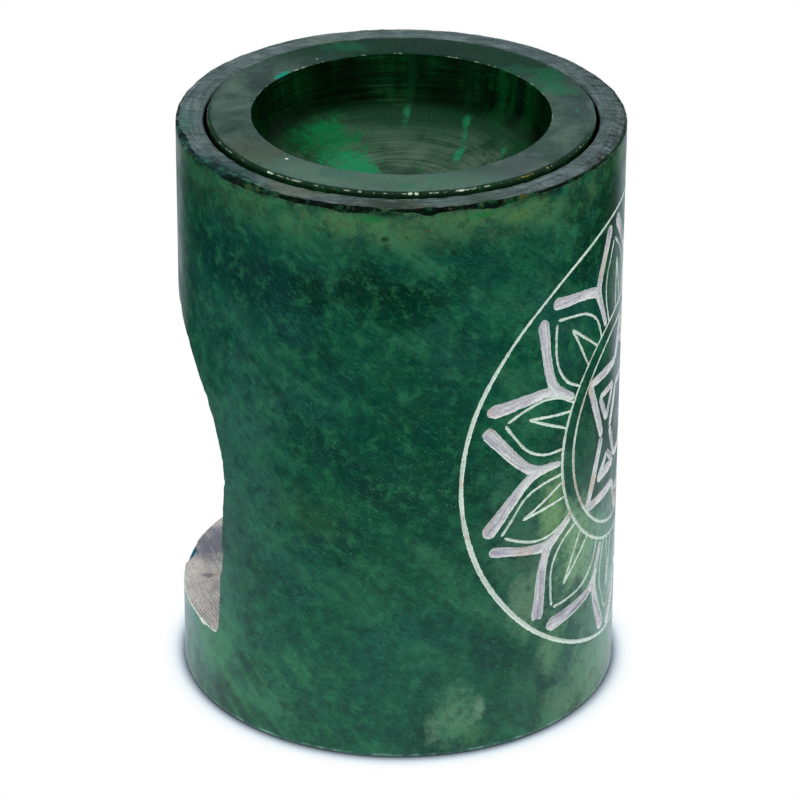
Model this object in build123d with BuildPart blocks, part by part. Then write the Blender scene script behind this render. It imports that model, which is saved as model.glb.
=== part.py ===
"""Engraved stone oil burner with a lift-out dish and a tealight.

The burner stands on z = 0 with its axis on Z. The engraved side of the wall faces -Y and the
tealight arch faces +Y. All lengths are in millimetres.
"""

import os

from build123d import *

# Stone body
body_radius = 35.0
body_height = 95.0
rim_wall = 4.3
seat_ledge = 3.7
base_thickness = 13.5
seat_depth = 8.0
top_edge_round = 0.7
base_edge_round = 0.6
seat_edge_round = 0.3
chamber_corner_round = 1.5

# Round-headed arch, nearly as wide as the chamber that it opens
arch_inset = 0.6
arch_lintel = 18.8
jamb_taper = 1.5
sill_corner_round = 2.0

# Dish
dish_clearance = 0.5
boss_clearance = 0.8
dish_rise = 0.6
dish_floor = 4.0
dish_edge_round = 0.5
boss_edge_round = 5.0
flange_edge_bevel = 0.4
bowl_wall = 2.9
bowl_lip_round = 0.3
bowl_depth = 13.5
bowl_wall_depth = 6.3
bowl_wall_draft = 0.6
bowl_corner_round = 4.0

# Tealight cup
cup_radius = 19.0
cup_height = 16.0
cup_wall = 0.3
cup_draft = 0.25
cup_base_round = 0.8
rim_bead = 0.45

# Wax, wick and its sustainer
wax_headroom = 2.7
wax_gap = 0.1
wax_edge_round = 0.5
wick_radius = 0.8
wick_above_wax = 6.5
sustainer_radius = 6.0
sustainer_plate = 0.3
neck_wall = 0.35
neck_height = 3.0
neck_clearance = 0.05
sustainer_gap = 0.05

# Every cut runs this far past the face that it opens
overrun = 2.0

# Sizes that follow from the ones above
seat_radius = body_radius - rim_wall
chamber_radius = seat_radius - seat_ledge
seat_level = body_height - seat_depth
arch_half_width = chamber_radius - arch_inset
sill_half_width = arch_half_width - jamb_taper
arch_crown_level = seat_level - arch_lintel
arch_spring_level = arch_crown_level - arch_half_width
dish_radius = seat_radius - dish_clearance
dish_top = body_height + dish_rise
boss_radius = chamber_radius - boss_clearance
lip_radius = boss_radius - bowl_wall
dish_bottom = dish_top - bowl_depth - dish_floor
cup_floor_level = base_thickness + cup_wall
cup_rim_level = base_thickness + cup_height
cup_top_radius = cup_radius + cup_draft
wax_top = cup_rim_level - wax_headroom
neck_bore = wick_radius + neck_clearance
neck_radius = neck_bore + neck_wall
plate_level = cup_floor_level + sustainer_plate
neck_top = plate_level + neck_height


def make_burner_body():
    """One block of stone: a base, a chamber, the dish seat above it and the arch."""
    with BuildPart() as burner_body:
        with BuildSketch():
            Circle(body_radius)
        extrude(amount=body_height)
        rims = burner_body.edges().filter_by(GeomType.CIRCLE).sort_by(Axis.Z)
        fillet(rims[-1], top_edge_round)
        fillet(rims[0], base_edge_round)

        with BuildSketch(Plane.XY.offset(base_thickness)):
            Circle(chamber_radius)
        extrude(amount=body_height - base_thickness + overrun, mode=Mode.SUBTRACT)
        floor_edges = (
            burner_body.edges()
            .filter_by(GeomType.CIRCLE)
            .filter_by_position(Axis.Z, base_thickness, base_thickness)
        )
        fillet(floor_edges, chamber_corner_round)

        with BuildSketch(Plane.XY.offset(seat_level)):
            Circle(seat_radius)
        extrude(amount=seat_depth + overrun, mode=Mode.SUBTRACT)
        seat_edges = burner_body.edges(Select.LAST).filter_by(GeomType.CIRCLE)
        fillet(seat_edges.sort_by(Axis.Z)[-1], seat_edge_round)

        sill = (sill_half_width, base_thickness)
        spring = (arch_half_width, arch_spring_level)
        crown = (0, arch_crown_level)
        with BuildSketch(Plane.XZ) as arch_profile:
            with BuildLine():
                Line((-sill[0], sill[1]), sill)
                Line(sill, spring)
                ThreePointArc(spring, crown, (-spring[0], spring[1]))
                Line((-spring[0], spring[1]), (-sill[0], sill[1]))
            make_face()
            fillet(arch_profile.vertices().group_by(Axis.Y)[0], sill_corner_round)
        extrude(amount=-(body_radius + overrun), mode=Mode.SUBTRACT)
    return burner_body


def make_oil_dish():
    """A turned dish: a flange that rests on the seat, a boss in the chamber and a round bowl."""
    with BuildPart() as oil_dish:
        with BuildSketch(Plane.XY.offset(seat_level)):
            Circle(dish_radius)
        extrude(amount=dish_top - seat_level)
        rims = oil_dish.edges().filter_by(GeomType.CIRCLE).sort_by(Axis.Z)
        fillet(rims[-1], dish_edge_round)
        chamfer(rims[0], flange_edge_bevel)

        with BuildSketch(Plane.XY.offset(dish_bottom)):
            Circle(boss_radius)
        extrude(amount=seat_level - dish_bottom)
        boss_foot = oil_dish.edges().filter_by(GeomType.CIRCLE).sort_by(Axis.Z)[0]
        fillet(boss_foot, boss_edge_round)

        wall_foot = (lip_radius - bowl_wall_draft, dish_top - bowl_wall_depth)
        bowl_foot = (0, dish_top - bowl_depth)
        with BuildSketch(Plane.XZ) as bowl_profile:
            with BuildLine():
                Line((0, dish_top), (lip_radius, dish_top))
                Line((lip_radius, dish_top), wall_foot)
                TangentArc(bowl_foot, wall_foot, tangent=(1, 0))
                Line(bowl_foot, (0, dish_top))
            make_face()
            corner = bowl_profile.vertices().sort_by_distance(wall_foot)[0]
            fillet(corner, bowl_corner_round)
        revolve(axis=Axis.Z, mode=Mode.SUBTRACT)
        bowl_edges = oil_dish.edges(Select.LAST).filter_by(GeomType.CIRCLE)
        fillet(bowl_edges.sort_by(Axis.Z)[-1], bowl_lip_round)
    return oil_dish


def make_tealight_cup():
    """A thin drawn cup with a rolled bead round its rim."""
    with BuildPart() as tealight_cup:
        with BuildSketch(Plane.XZ) as wall_profile:
            with BuildLine():
                Polyline(
                    (0, base_thickness),
                    (cup_radius, base_thickness),
                    (cup_top_radius, cup_rim_level),
                    (cup_top_radius - cup_wall, cup_rim_level),
                    (cup_radius - cup_wall, cup_floor_level),
                    (0, cup_floor_level),
                    close=True,
                )
            make_face()
            outer_corner = wall_profile.vertices().sort_by_distance((cup_radius, base_thickness))[0]
            fillet(outer_corner, cup_base_round)
            inner_corner = wall_profile.vertices().sort_by_distance(
                (cup_radius - cup_wall, cup_floor_level)
            )[0]
            fillet(inner_corner, cup_base_round - cup_wall)
            with Locations((cup_top_radius - cup_wall / 2, cup_rim_level - rim_bead)):
                Circle(rim_bead)
        revolve(axis=Axis.Z)
    return tealight_cup


def make_tealight_wax():
    """The wax fills the cup round the wick and the sustainer."""
    with BuildPart() as tealight_wax:
        with BuildSketch(Plane.XY.offset(cup_floor_level + wax_gap)):
            Circle(cup_radius - cup_wall - wax_gap)
        extrude(amount=wax_top - cup_floor_level - wax_gap)
        wax_rims = tealight_wax.edges().filter_by(GeomType.CIRCLE)
        fillet(wax_rims, wax_edge_round)
        with BuildSketch(Plane.XY.offset(cup_floor_level)):
            Circle(wick_radius + sustainer_gap)
        extrude(amount=wax_top - cup_floor_level + overrun, mode=Mode.SUBTRACT)
        with BuildSketch(Plane.XY.offset(cup_floor_level)):
            Circle(sustainer_radius + sustainer_gap)
        extrude(amount=sustainer_plate + sustainer_gap, mode=Mode.SUBTRACT)
        with BuildSketch(Plane.XY.offset(cup_floor_level)):
            Circle(neck_radius + sustainer_gap)
        extrude(amount=neck_top - cup_floor_level + sustainer_gap, mode=Mode.SUBTRACT)
    return tealight_wax


def make_wick_sustainer():
    """A steel disc on the cup's floor with a neck that grips the wick."""
    with BuildPart() as wick_sustainer:
        with BuildSketch(Plane.XY.offset(cup_floor_level)):
            Circle(sustainer_radius)
        extrude(amount=sustainer_plate)
        with BuildSketch(Plane.XY.offset(plate_level)):
            Circle(neck_radius)
        extrude(amount=neck_height)
        with BuildSketch(Plane.XY.offset(plate_level)):
            Circle(neck_bore)
        extrude(amount=neck_height + overrun, mode=Mode.SUBTRACT)
    return wick_sustainer


def make_tealight_wick():
    """The wick stands in the neck, runs up through the wax and out of its top."""
    with BuildPart() as tealight_wick:
        with BuildSketch(Plane.XY.offset(plate_level)):
            Circle(wick_radius)
        extrude(amount=wax_top - plate_level + wick_above_wax)
    return tealight_wick


makers = {
    "burner_body": make_burner_body,
    "oil_dish": make_oil_dish,
    "tealight_cup": make_tealight_cup,
    "tealight_wax": make_tealight_wax,
    "wick_sustainer": make_wick_sustainer,
    "tealight_wick": make_tealight_wick,
}

os.makedirs("parts", exist_ok=True)
for name, make in makers.items():
    piece = make()
    piece.part.label = name
    export_step(piece.part, f"parts/{name}.step")
    print(name, round(piece.part.volume, 1), "mm3", piece.part.bounding_box().size)
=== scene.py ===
"""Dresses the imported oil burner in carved, dyed and waxed soapstone, with its dish and its tealight.

The burner stands on z = 0 with its axis on Z, its engraved side towards -Y and its arch towards +Y.
Lengths are metres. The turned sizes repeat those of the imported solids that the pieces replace.
"""

import logging
import math
import random
from dataclasses import dataclass
from enum import Enum
from typing import Callable, Optional, Union

import bmesh
import bpy
from mathutils import Matrix, Vector, noise


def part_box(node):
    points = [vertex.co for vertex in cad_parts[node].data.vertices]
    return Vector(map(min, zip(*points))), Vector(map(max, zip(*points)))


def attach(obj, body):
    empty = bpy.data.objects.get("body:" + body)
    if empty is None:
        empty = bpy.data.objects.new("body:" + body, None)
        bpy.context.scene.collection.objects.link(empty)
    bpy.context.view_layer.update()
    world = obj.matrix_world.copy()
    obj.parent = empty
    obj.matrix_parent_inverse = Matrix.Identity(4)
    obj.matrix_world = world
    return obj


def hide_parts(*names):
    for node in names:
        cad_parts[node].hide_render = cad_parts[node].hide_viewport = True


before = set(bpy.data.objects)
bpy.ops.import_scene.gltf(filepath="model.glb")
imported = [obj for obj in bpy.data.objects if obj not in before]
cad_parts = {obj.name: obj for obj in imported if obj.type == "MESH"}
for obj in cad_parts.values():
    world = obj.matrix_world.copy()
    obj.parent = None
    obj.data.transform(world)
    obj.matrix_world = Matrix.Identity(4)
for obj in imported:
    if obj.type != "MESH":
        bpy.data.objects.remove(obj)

log = logging.getLogger("oil_burner")

MM = 0.001

Socket = bpy.types.NodeSocket
Piece = bpy.types.Object
Material = bpy.types.Material
Number = Union["Term", float, int]
Colour = tuple[float, float, float, float]
Link = Union["Term", Socket, float, int, tuple, str, bool]

# Each patch of other colour is its centre and reach across and up, its screen colour and its strength
Shade = tuple[int, int, int]
Patches = tuple[tuple[float, float, float, float, Shade, float], ...]

# The size, detail, roughness and seed of a noise
Noise = tuple[float, float, float, float]


def paint(red: int, green: int, blue: int) -> Colour:
    """Turns a colour as it looks on a screen into the light that a shader works in.

    Args:
        red: Red from 0 to 255.
        green: Green from 0 to 255.
        blue: Blue from 0 to 255.

    Returns:
        Red, green, blue and a full alpha, linear.
    """
    shares = [level / 255 for level in (red, green, blue)]
    return (*(s / 12.92 if s <= 0.04045 else ((s + 0.055) / 1.055) ** 2.4 for s in shares), 1.0)


def ease(value: float, low: float, high: float) -> float:
    """Rises smoothly from 0 at low to 1 at high, or falls if low is the larger."""
    share = min(1.0, max(0.0, (value - low) / (high - low)))
    return share * share * (3 - 2 * share)


class Term:
    """A number that runs through a node tree, so that shader sums are written as sums."""

    def __init__(self, graph: "Graph", socket: Socket) -> None:
        """Wraps one output socket of a graph."""
        self.graph = graph
        self.socket = socket

    def apply(self, operation: str, *values: Number) -> "Term":
        """Adds the Math node of that operation, with this number first."""
        return self.graph.math(operation, self, *values)

    def __add__(self, other: Number) -> "Term":
        """This number plus the other."""
        return self.graph.math("ADD", self, other)

    def __sub__(self, other: Number) -> "Term":
        """This number less the other."""
        return self.graph.math("SUBTRACT", self, other)

    def __rsub__(self, other: Number) -> "Term":
        """The other number less this one."""
        return self.graph.math("SUBTRACT", other, self)

    def __mul__(self, other: Number) -> "Term":
        """This number times the other."""
        return self.graph.math("MULTIPLY", self, other)

    def __truediv__(self, other: Number) -> "Term":
        """This number divided by the other."""
        return self.graph.math("DIVIDE", self, other)

    def __pow__(self, other: Number) -> "Term":
        """This number raised to the other."""
        return self.graph.math("POWER", self, other)

    __radd__ = __add__
    __rmul__ = __mul__


class Graph:
    """Adds nodes to one shader or geometry tree."""

    def __init__(self, tree: bpy.types.NodeTree) -> None:
        """Works on the given tree."""
        self.tree = tree

    def plug(self, socket: Socket, value: Link) -> None:
        """Links a term or a socket to an input, or sets the input's own value.

        Args:
            socket: The input.
            value: What goes into it.
        """
        if isinstance(value, Term):
            value = value.socket
        if isinstance(value, Socket):
            self.tree.links.new(value, socket)
        else:
            socket.default_value = value

    def node(
        self, kind: str, settings: Optional[dict] = None, sockets: Optional[dict] = None
    ) -> bpy.types.Node:
        """Adds one node.

        Args:
            kind: The node's type.
            settings: Properties, set first. "stops" fills a ramp with pairs of place and colour.
            sockets: Values or links by input name or index.

        Returns:
            The new node.
        """
        node = self.tree.nodes.new(kind)
        for name, value in (settings or {}).items():
            if name == "stops":
                ramp = node.color_ramp
                while len(ramp.elements) < len(value):
                    ramp.elements.new(0.5)
                for element, (place, colour) in zip(ramp.elements, value):
                    element.position = place
                    element.color = colour
            else:
                setattr(node, name, value)
        for key, value in (sockets or {}).items():
            if isinstance(key, int):
                socket = node.inputs[key]
            else:
                socket = next(s for s in node.inputs if s.name == key and s.enabled)
            self.plug(socket, value)
        return node

    def term(self, kind: str, output: Union[str, int], settings: dict, sockets: dict) -> Term:
        """Adds one node and takes one of its outputs as a number."""
        return Term(self, self.node(kind, settings, sockets).outputs[output])

    def math(self, operation: str, *values: Number) -> Term:
        """One Math node on up to three numbers."""
        return self.term("ShaderNodeMath", 0, {"operation": operation}, dict(enumerate(values)))

    def vector(self, operation: str, first: Link, second: Link) -> Socket:
        """One Vector Math node on two vectors."""
        node = self.node("ShaderNodeVectorMath", {"operation": operation}, {0: first, 1: second})
        return node.outputs["Vector"]

    def length(self, vector: Link) -> Term:
        """The length of a vector."""
        return self.term("ShaderNodeVectorMath", "Value", {"operation": "LENGTH"}, {0: vector})

    def dot(self, first: Link, second: Link) -> Term:
        """The dot product of two vectors."""
        return self.term("ShaderNodeVectorMath", "Value", {"operation": "DOT_PRODUCT"}, {0: first, 1: second})

    def combine(self, x: Number, y: Number, z: Number = 0.0) -> Socket:
        """A vector from its numbers."""
        return self.node("ShaderNodeCombineXYZ", {}, {0: x, 1: y, 2: z}).outputs[0]

    def separate(self, vector: Link) -> tuple[Term, Term, Term]:
        """The three numbers of a vector."""
        outputs = self.node("ShaderNodeSeparateXYZ", {}, {0: vector}).outputs
        return Term(self, outputs[0]), Term(self, outputs[1]), Term(self, outputs[2])

    def turned(self, vector: Link, angle: float) -> Socket:
        """A vector turned round Z."""
        settings = {"rotation_type": "Z_AXIS"}
        return self.node("ShaderNodeVectorRotate", settings, {"Vector": vector, "Angle": angle}).outputs[0]

    def mix(self, factor: Link, first: Link, second: Link) -> Socket:
        """Mixes two colours.

        Args:
            factor: How much of the second colour comes in.
            first: The colour at 0.
            second: The colour at 1.

        Returns:
            The mixed colour.
        """
        settings = {"data_type": "RGBA", "blend_type": "MIX", "clamp_result": True}
        node = self.node("ShaderNodeMix", settings, {"Factor": factor, "A": first, "B": second})
        return next(s for s in node.outputs if s.enabled)

    def smooth(self, value: Link, low: float, high: float, start: float = 0.0, end: float = 1.0) -> Term:
        """Runs from start at low to end at high, smoothly, and stays level past both."""
        sockets = {"Value": value, "From Min": low, "From Max": high, "To Min": start, "To Max": end}
        return self.term("ShaderNodeMapRange", 0, {"interpolation_type": "SMOOTHSTEP"}, sockets)

    def ramp(self, value: Link, *stops: tuple[float, int, int, int]) -> Socket:
        """A colour picked from a ramp, whose stops are each a place and a screen colour."""
        pairs = [(place, paint(*colour)) for place, *colour in stops]
        return self.node("ShaderNodeValToRGB", {"stops": pairs}, {"Fac": value}).outputs["Color"]

    def noise(
        self,
        place: Link,
        size: float,
        detail: float = 2.0,
        rough: float = 0.5,
        seed: float = 0.0,
        warp: float = 0.0,
    ) -> Term:
        """Cloudy noise, mostly between 0.3 and 0.7.

        Args:
            place: The coordinates that it follows.
            size: The size of its largest lumps, in the units of place.
            detail: How many finer octaves it has.
            rough: How strong those octaves are.
            seed: Moves the pattern to another place.
            warp: How far the lumps are twisted.

        Returns:
            The noise's level.
        """
        moved = self.vector("ADD", place, (seed * size, -0.7 * seed * size, 0.3 * seed * size))
        sockets = {
            "Vector": moved,
            "Scale": 1 / size,
            "Detail": detail,
            "Roughness": rough,
            "Distortion": warp,
        }
        return self.term("ShaderNodeTexNoise", 0, {}, sockets)

    def specks(self, place: Link, size: float, share: float, seed: float = 0.0) -> Term:
        """Small round dots.

        Args:
            place: The coordinates that they follow.
            size: The size of the cell that each lies in.
            share: How much of its cell a dot may fill.
            seed: Moves the pattern to another place.

        Returns:
            1 on a dot.
        """
        moved = self.vector("ADD", place, (seed * size, seed * size, seed * size))
        distance = self.term("ShaderNodeTexVoronoi", "Distance", {}, {"Vector": moved, "Scale": 1 / size})
        return self.smooth(distance, share, share * 0.4)

    def patch(self, place: Link, centre: tuple, reach: tuple, ragged: Number, soft: float) -> Term:
        """A patch with a ragged, soft edge.

        Args:
            place: The coordinates that it lies in.
            centre: Its centre.
            reach: How far it reaches along each axis.
            ragged: What is added to the distance from its centre, to break its edge.
            soft: The share of its reach over which it fades.

        Returns:
            1 inside and 0 outside.
        """
        away = self.vector("SUBTRACT", place, centre)
        away = self.vector("MULTIPLY", away, tuple(1 / reached for reached in reach))
        return self.smooth(self.length(away) + ragged, 1.0, 1.0 - soft)


class Coat(Graph):
    """The shader tree of a surface, with the colour laid on it so far."""

    def __init__(self, tree: bpy.types.NodeTree) -> None:
        """Starts a tree on the surface's own coordinates.

        Args:
            tree: The shader tree.
        """
        super().__init__(tree)
        self.place = self.node("ShaderNodeTexCoord").outputs["Object"]
        self.colour: Link = paint(0, 0, 0)

    def lay(self, share: Link, colour: Link) -> None:
        """Lays another colour over a share of the surface."""
        self.colour = self.mix(share, self.colour, colour)

    def lay_patches(self, where: Link, patches: Patches, ragged: Number, soft: float) -> None:
        """Lays a table of patches, one after another.

        Args:
            where: The coordinates, in millimetres, in which they are placed.
            patches: The patches.
            ragged: What breaks their edges.
            soft: The share of a patch over which it fades.
        """
        for across, up, wide, high, colour, strength in patches:
            inside = self.patch(where, (across, up, 0), (wide, high, 1), ragged, soft)
            self.lay(inside * strength, paint(*colour))

    def attribute(self, name: str) -> Term:
        """A number that the mesh carries."""
        return self.term("ShaderNodeAttribute", "Fac", {"attribute_name": name}, {})


class TurnedCoat(Coat):
    """The coat of a turned stone, with its places worked out in millimetres.

    Its wall is unrolled, the arc length from -Y across and the height up, and its plan is seen from
    above.
    """

    def __init__(self, tree: bpy.types.NodeTree, radius: float) -> None:
        """Works out the places.

        Args:
            tree: The shader tree.
            radius: The turned radius in metres.
        """
        super().__init__(tree)
        self.reach = radius / MM
        x, y, z = self.separate(self.place)
        self.x, self.y, self.up = x * (1 / MM), y * (1 / MM), z * (1 / MM)
        self.angle = x.apply("ARCTAN2", y * -1)
        self.wall = self.combine(self.angle * self.reach, self.up)
        self.plan = self.combine(self.x, self.y)
        self.solid = self.combine(self.x, self.y, self.up)
        self.out = self.length(self.plan)

    def twisted(self, lead: float, stretch: float) -> Socket:
        """Coordinates in millimetres in which a round lump becomes a slanted streak, without a seam.

        Args:
            lead: How many millimetres the streaks run round for each millimetre that they drop.
            stretch: How much shorter the coordinates are along a streak.

        Returns:
            The coordinates.
        """
        turned = self.angle + self.up * (lead / self.reach)
        return self.combine(
            turned.apply("SINE") * self.reach, turned.apply("COSINE") * -self.reach, self.up * stretch
        )

    def rings(self, coarse: float) -> Socket:
        """Coordinates in which noise becomes the rings that a lathe tool leaves."""
        return self.combine(self.out, self.angle.apply("SINE") * coarse, self.angle.apply("COSINE") * coarse)

    def worn_and_highlit_line(self, spot: tuple[float, float], reach: float, amount: float, seed: float) -> Term:
        """A thin, broken pale line round a turned edge: partly worn stone, partly a painted highlight of the
        edge.

        Args:
            spot: The edge's distance from the axis and its height, in millimetres.
            reach: How far the line goes from the edge, in millimetres.
            amount: How much of the line is laid, from 0 to 1.
            seed: Picks another pattern.

        Returns:
            1 on the line.
        """
        away = self.length(self.combine(self.out - spot[0], self.up - spot[1]))
        round_place = self.combine(self.angle.apply("SINE") * 30, self.angle.apply("COSINE") * 30)
        broken = self.noise(round_place, 2.2, 4, 0.75, seed)
        line = self.smooth(broken, 0.62 - amount * 0.3, 0.7 - amount * 0.3)
        return line * self.smooth(away + (broken - 0.5) * reach, reach, reach * 0.45)

    def worn_and_highlit_lip(self) -> Term:
        """The pale line round the bowl's lip, partly worn stone and partly a painted highlight, strongest on
        the side away from the camera.
        """
        return self.worn_and_highlit_line((23.36, 95.54), 0.13, 0.3, 6.0) * self.smooth(self.x, -8.0, 8.0, 0.25, 1.0)

    def teal_stain(self) -> Link:
        """The mottled teal dye at the rim's left."""
        mottle = self.noise(self.place, 1.5 * MM, 4, 0.65, 8.0)
        return self.ramp(mottle, (0.4, 2, 20, 24), (0.53, 10, 58, 54), (0.68, 62, 118, 92))

    def lay_worn_rim_and_painted_shade(self) -> None:
        """Colours the broken outer edge of the rim: near-black, partly dye and partly painted shade, with
        olive and golden flecks, the golden ones partly painted highlight.
        """
        lost = self.attribute("lost")
        blotch = self.noise(self.place, 2.4 * MM, 4, 0.62, 3.0)
        broken = self.ramp(blotch, (0.36, 1, 8, 5), (0.52, 5, 22, 14), (0.6, 10, 62, 36), (0.7, 64, 66, 32))
        teal = self.patch(self.plan, (-20, 29, 0), (11, 11, 1), (blotch - 0.5) * 1.6, 0.5)
        broken = self.mix(teal, broken, self.teal_stain())
        flecks = self.smooth(self.noise(self.place, 0.9 * MM, 3, 0.7, 6.6), 0.6, 0.68)
        broken = self.mix(flecks * 0.2, broken, paint(112, 112, 70))
        # A golden line where the break meets the top: partly stain, partly painted highlight
        crest = self.smooth(lost, 0.0, 0.02) * self.smooth(lost, 0.09, 0.03)
        golden = self.smooth(self.noise(self.place, 2.8 * MM, 2, 0.6, 1.5), 0.48, 0.6)
        self.lay(crest * golden * 0.3, paint(110, 120, 66))
        # The break itself is laid near-black: partly dark dye, partly painted shade
        self.lay(self.smooth(lost + (blotch - 0.5) * 0.3, 0.0, 0.2) * self.smooth(lost, 0.0, 0.05), broken)


@dataclass(frozen=True)
class Rubbing:
    """How unevenly a surface is rubbed: the noise, and how much glossier and duller it gets."""

    size: float
    detail: int
    rough: float
    seed: float
    less: float
    more: float


@dataclass(frozen=True)
class Finish:
    """A finish: a Principled surface whose colour, gloss and grain come from nodes."""

    name: str
    rough: float
    bump: float = 0.0
    specular: float = 0.5
    metallic: float = 0.0
    rubbing: Optional[Rubbing] = None

    def start(self, tree: bpy.types.NodeTree) -> Coat:
        """The coat that the finish is laid with."""
        return Coat(tree)

    def lay_colour(self, coat: Coat) -> None:
        """Lays the surface's colour."""
        raise NotImplementedError

    def rough_of(self, coat: Coat) -> Link:
        """The surface's roughness.

        Args:
            coat: The coat.

        Returns:
            One roughness, or one that varies as the rubbing says.
        """
        if self.rubbing is None:
            return self.rough
        rub = self.rubbing
        rubbed = coat.noise(coat.place, rub.size, rub.detail, rub.rough, rub.seed)
        return coat.smooth(rubbed, 0.3, 0.7, self.rough - rub.less, self.rough + rub.more)

    def height_of(self, coat: Coat) -> Optional[Term]:
        """The height, in metres, of its fine grain."""
        return None

    def dress(self, shader: bpy.types.Node) -> None:
        """Sets what is the same all over the surface."""

    def build(self) -> Material:
        """Makes the material.

        Returns:
            The material, ready to be given to a piece.
        """
        material = bpy.data.materials.new(self.name)
        material.use_nodes = True
        material.node_tree.nodes.clear()
        coat = self.start(material.node_tree)
        self.lay_colour(coat)
        sockets = {
            "Base Color": coat.colour,
            "Roughness": self.rough_of(coat),
            "Metallic": self.metallic,
            "Specular IOR Level": self.specular,
        }
        height = self.height_of(coat)
        if height is not None:
            bump = coat.node("ShaderNodeBump", {}, {"Strength": 1.0, "Distance": self.bump, "Height": height})
            sockets["Normal"] = bump.outputs["Normal"]
        shader = coat.node("ShaderNodeBsdfPrincipled", {}, sockets)
        self.dress(shader)
        coat.node("ShaderNodeOutputMaterial", {}, {"Surface": shader.outputs["BSDF"]})
        return material


@dataclass(frozen=True)
class TurnedFinish(Finish):
    """A finish of turned stone, whose marks run round its axis."""

    turned_radius: float = 35 * MM

    def start(self, tree: bpy.types.NodeTree) -> TurnedCoat:
        """The coat, with the places on the turned stone."""
        return TurnedCoat(tree, self.turned_radius)


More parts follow.
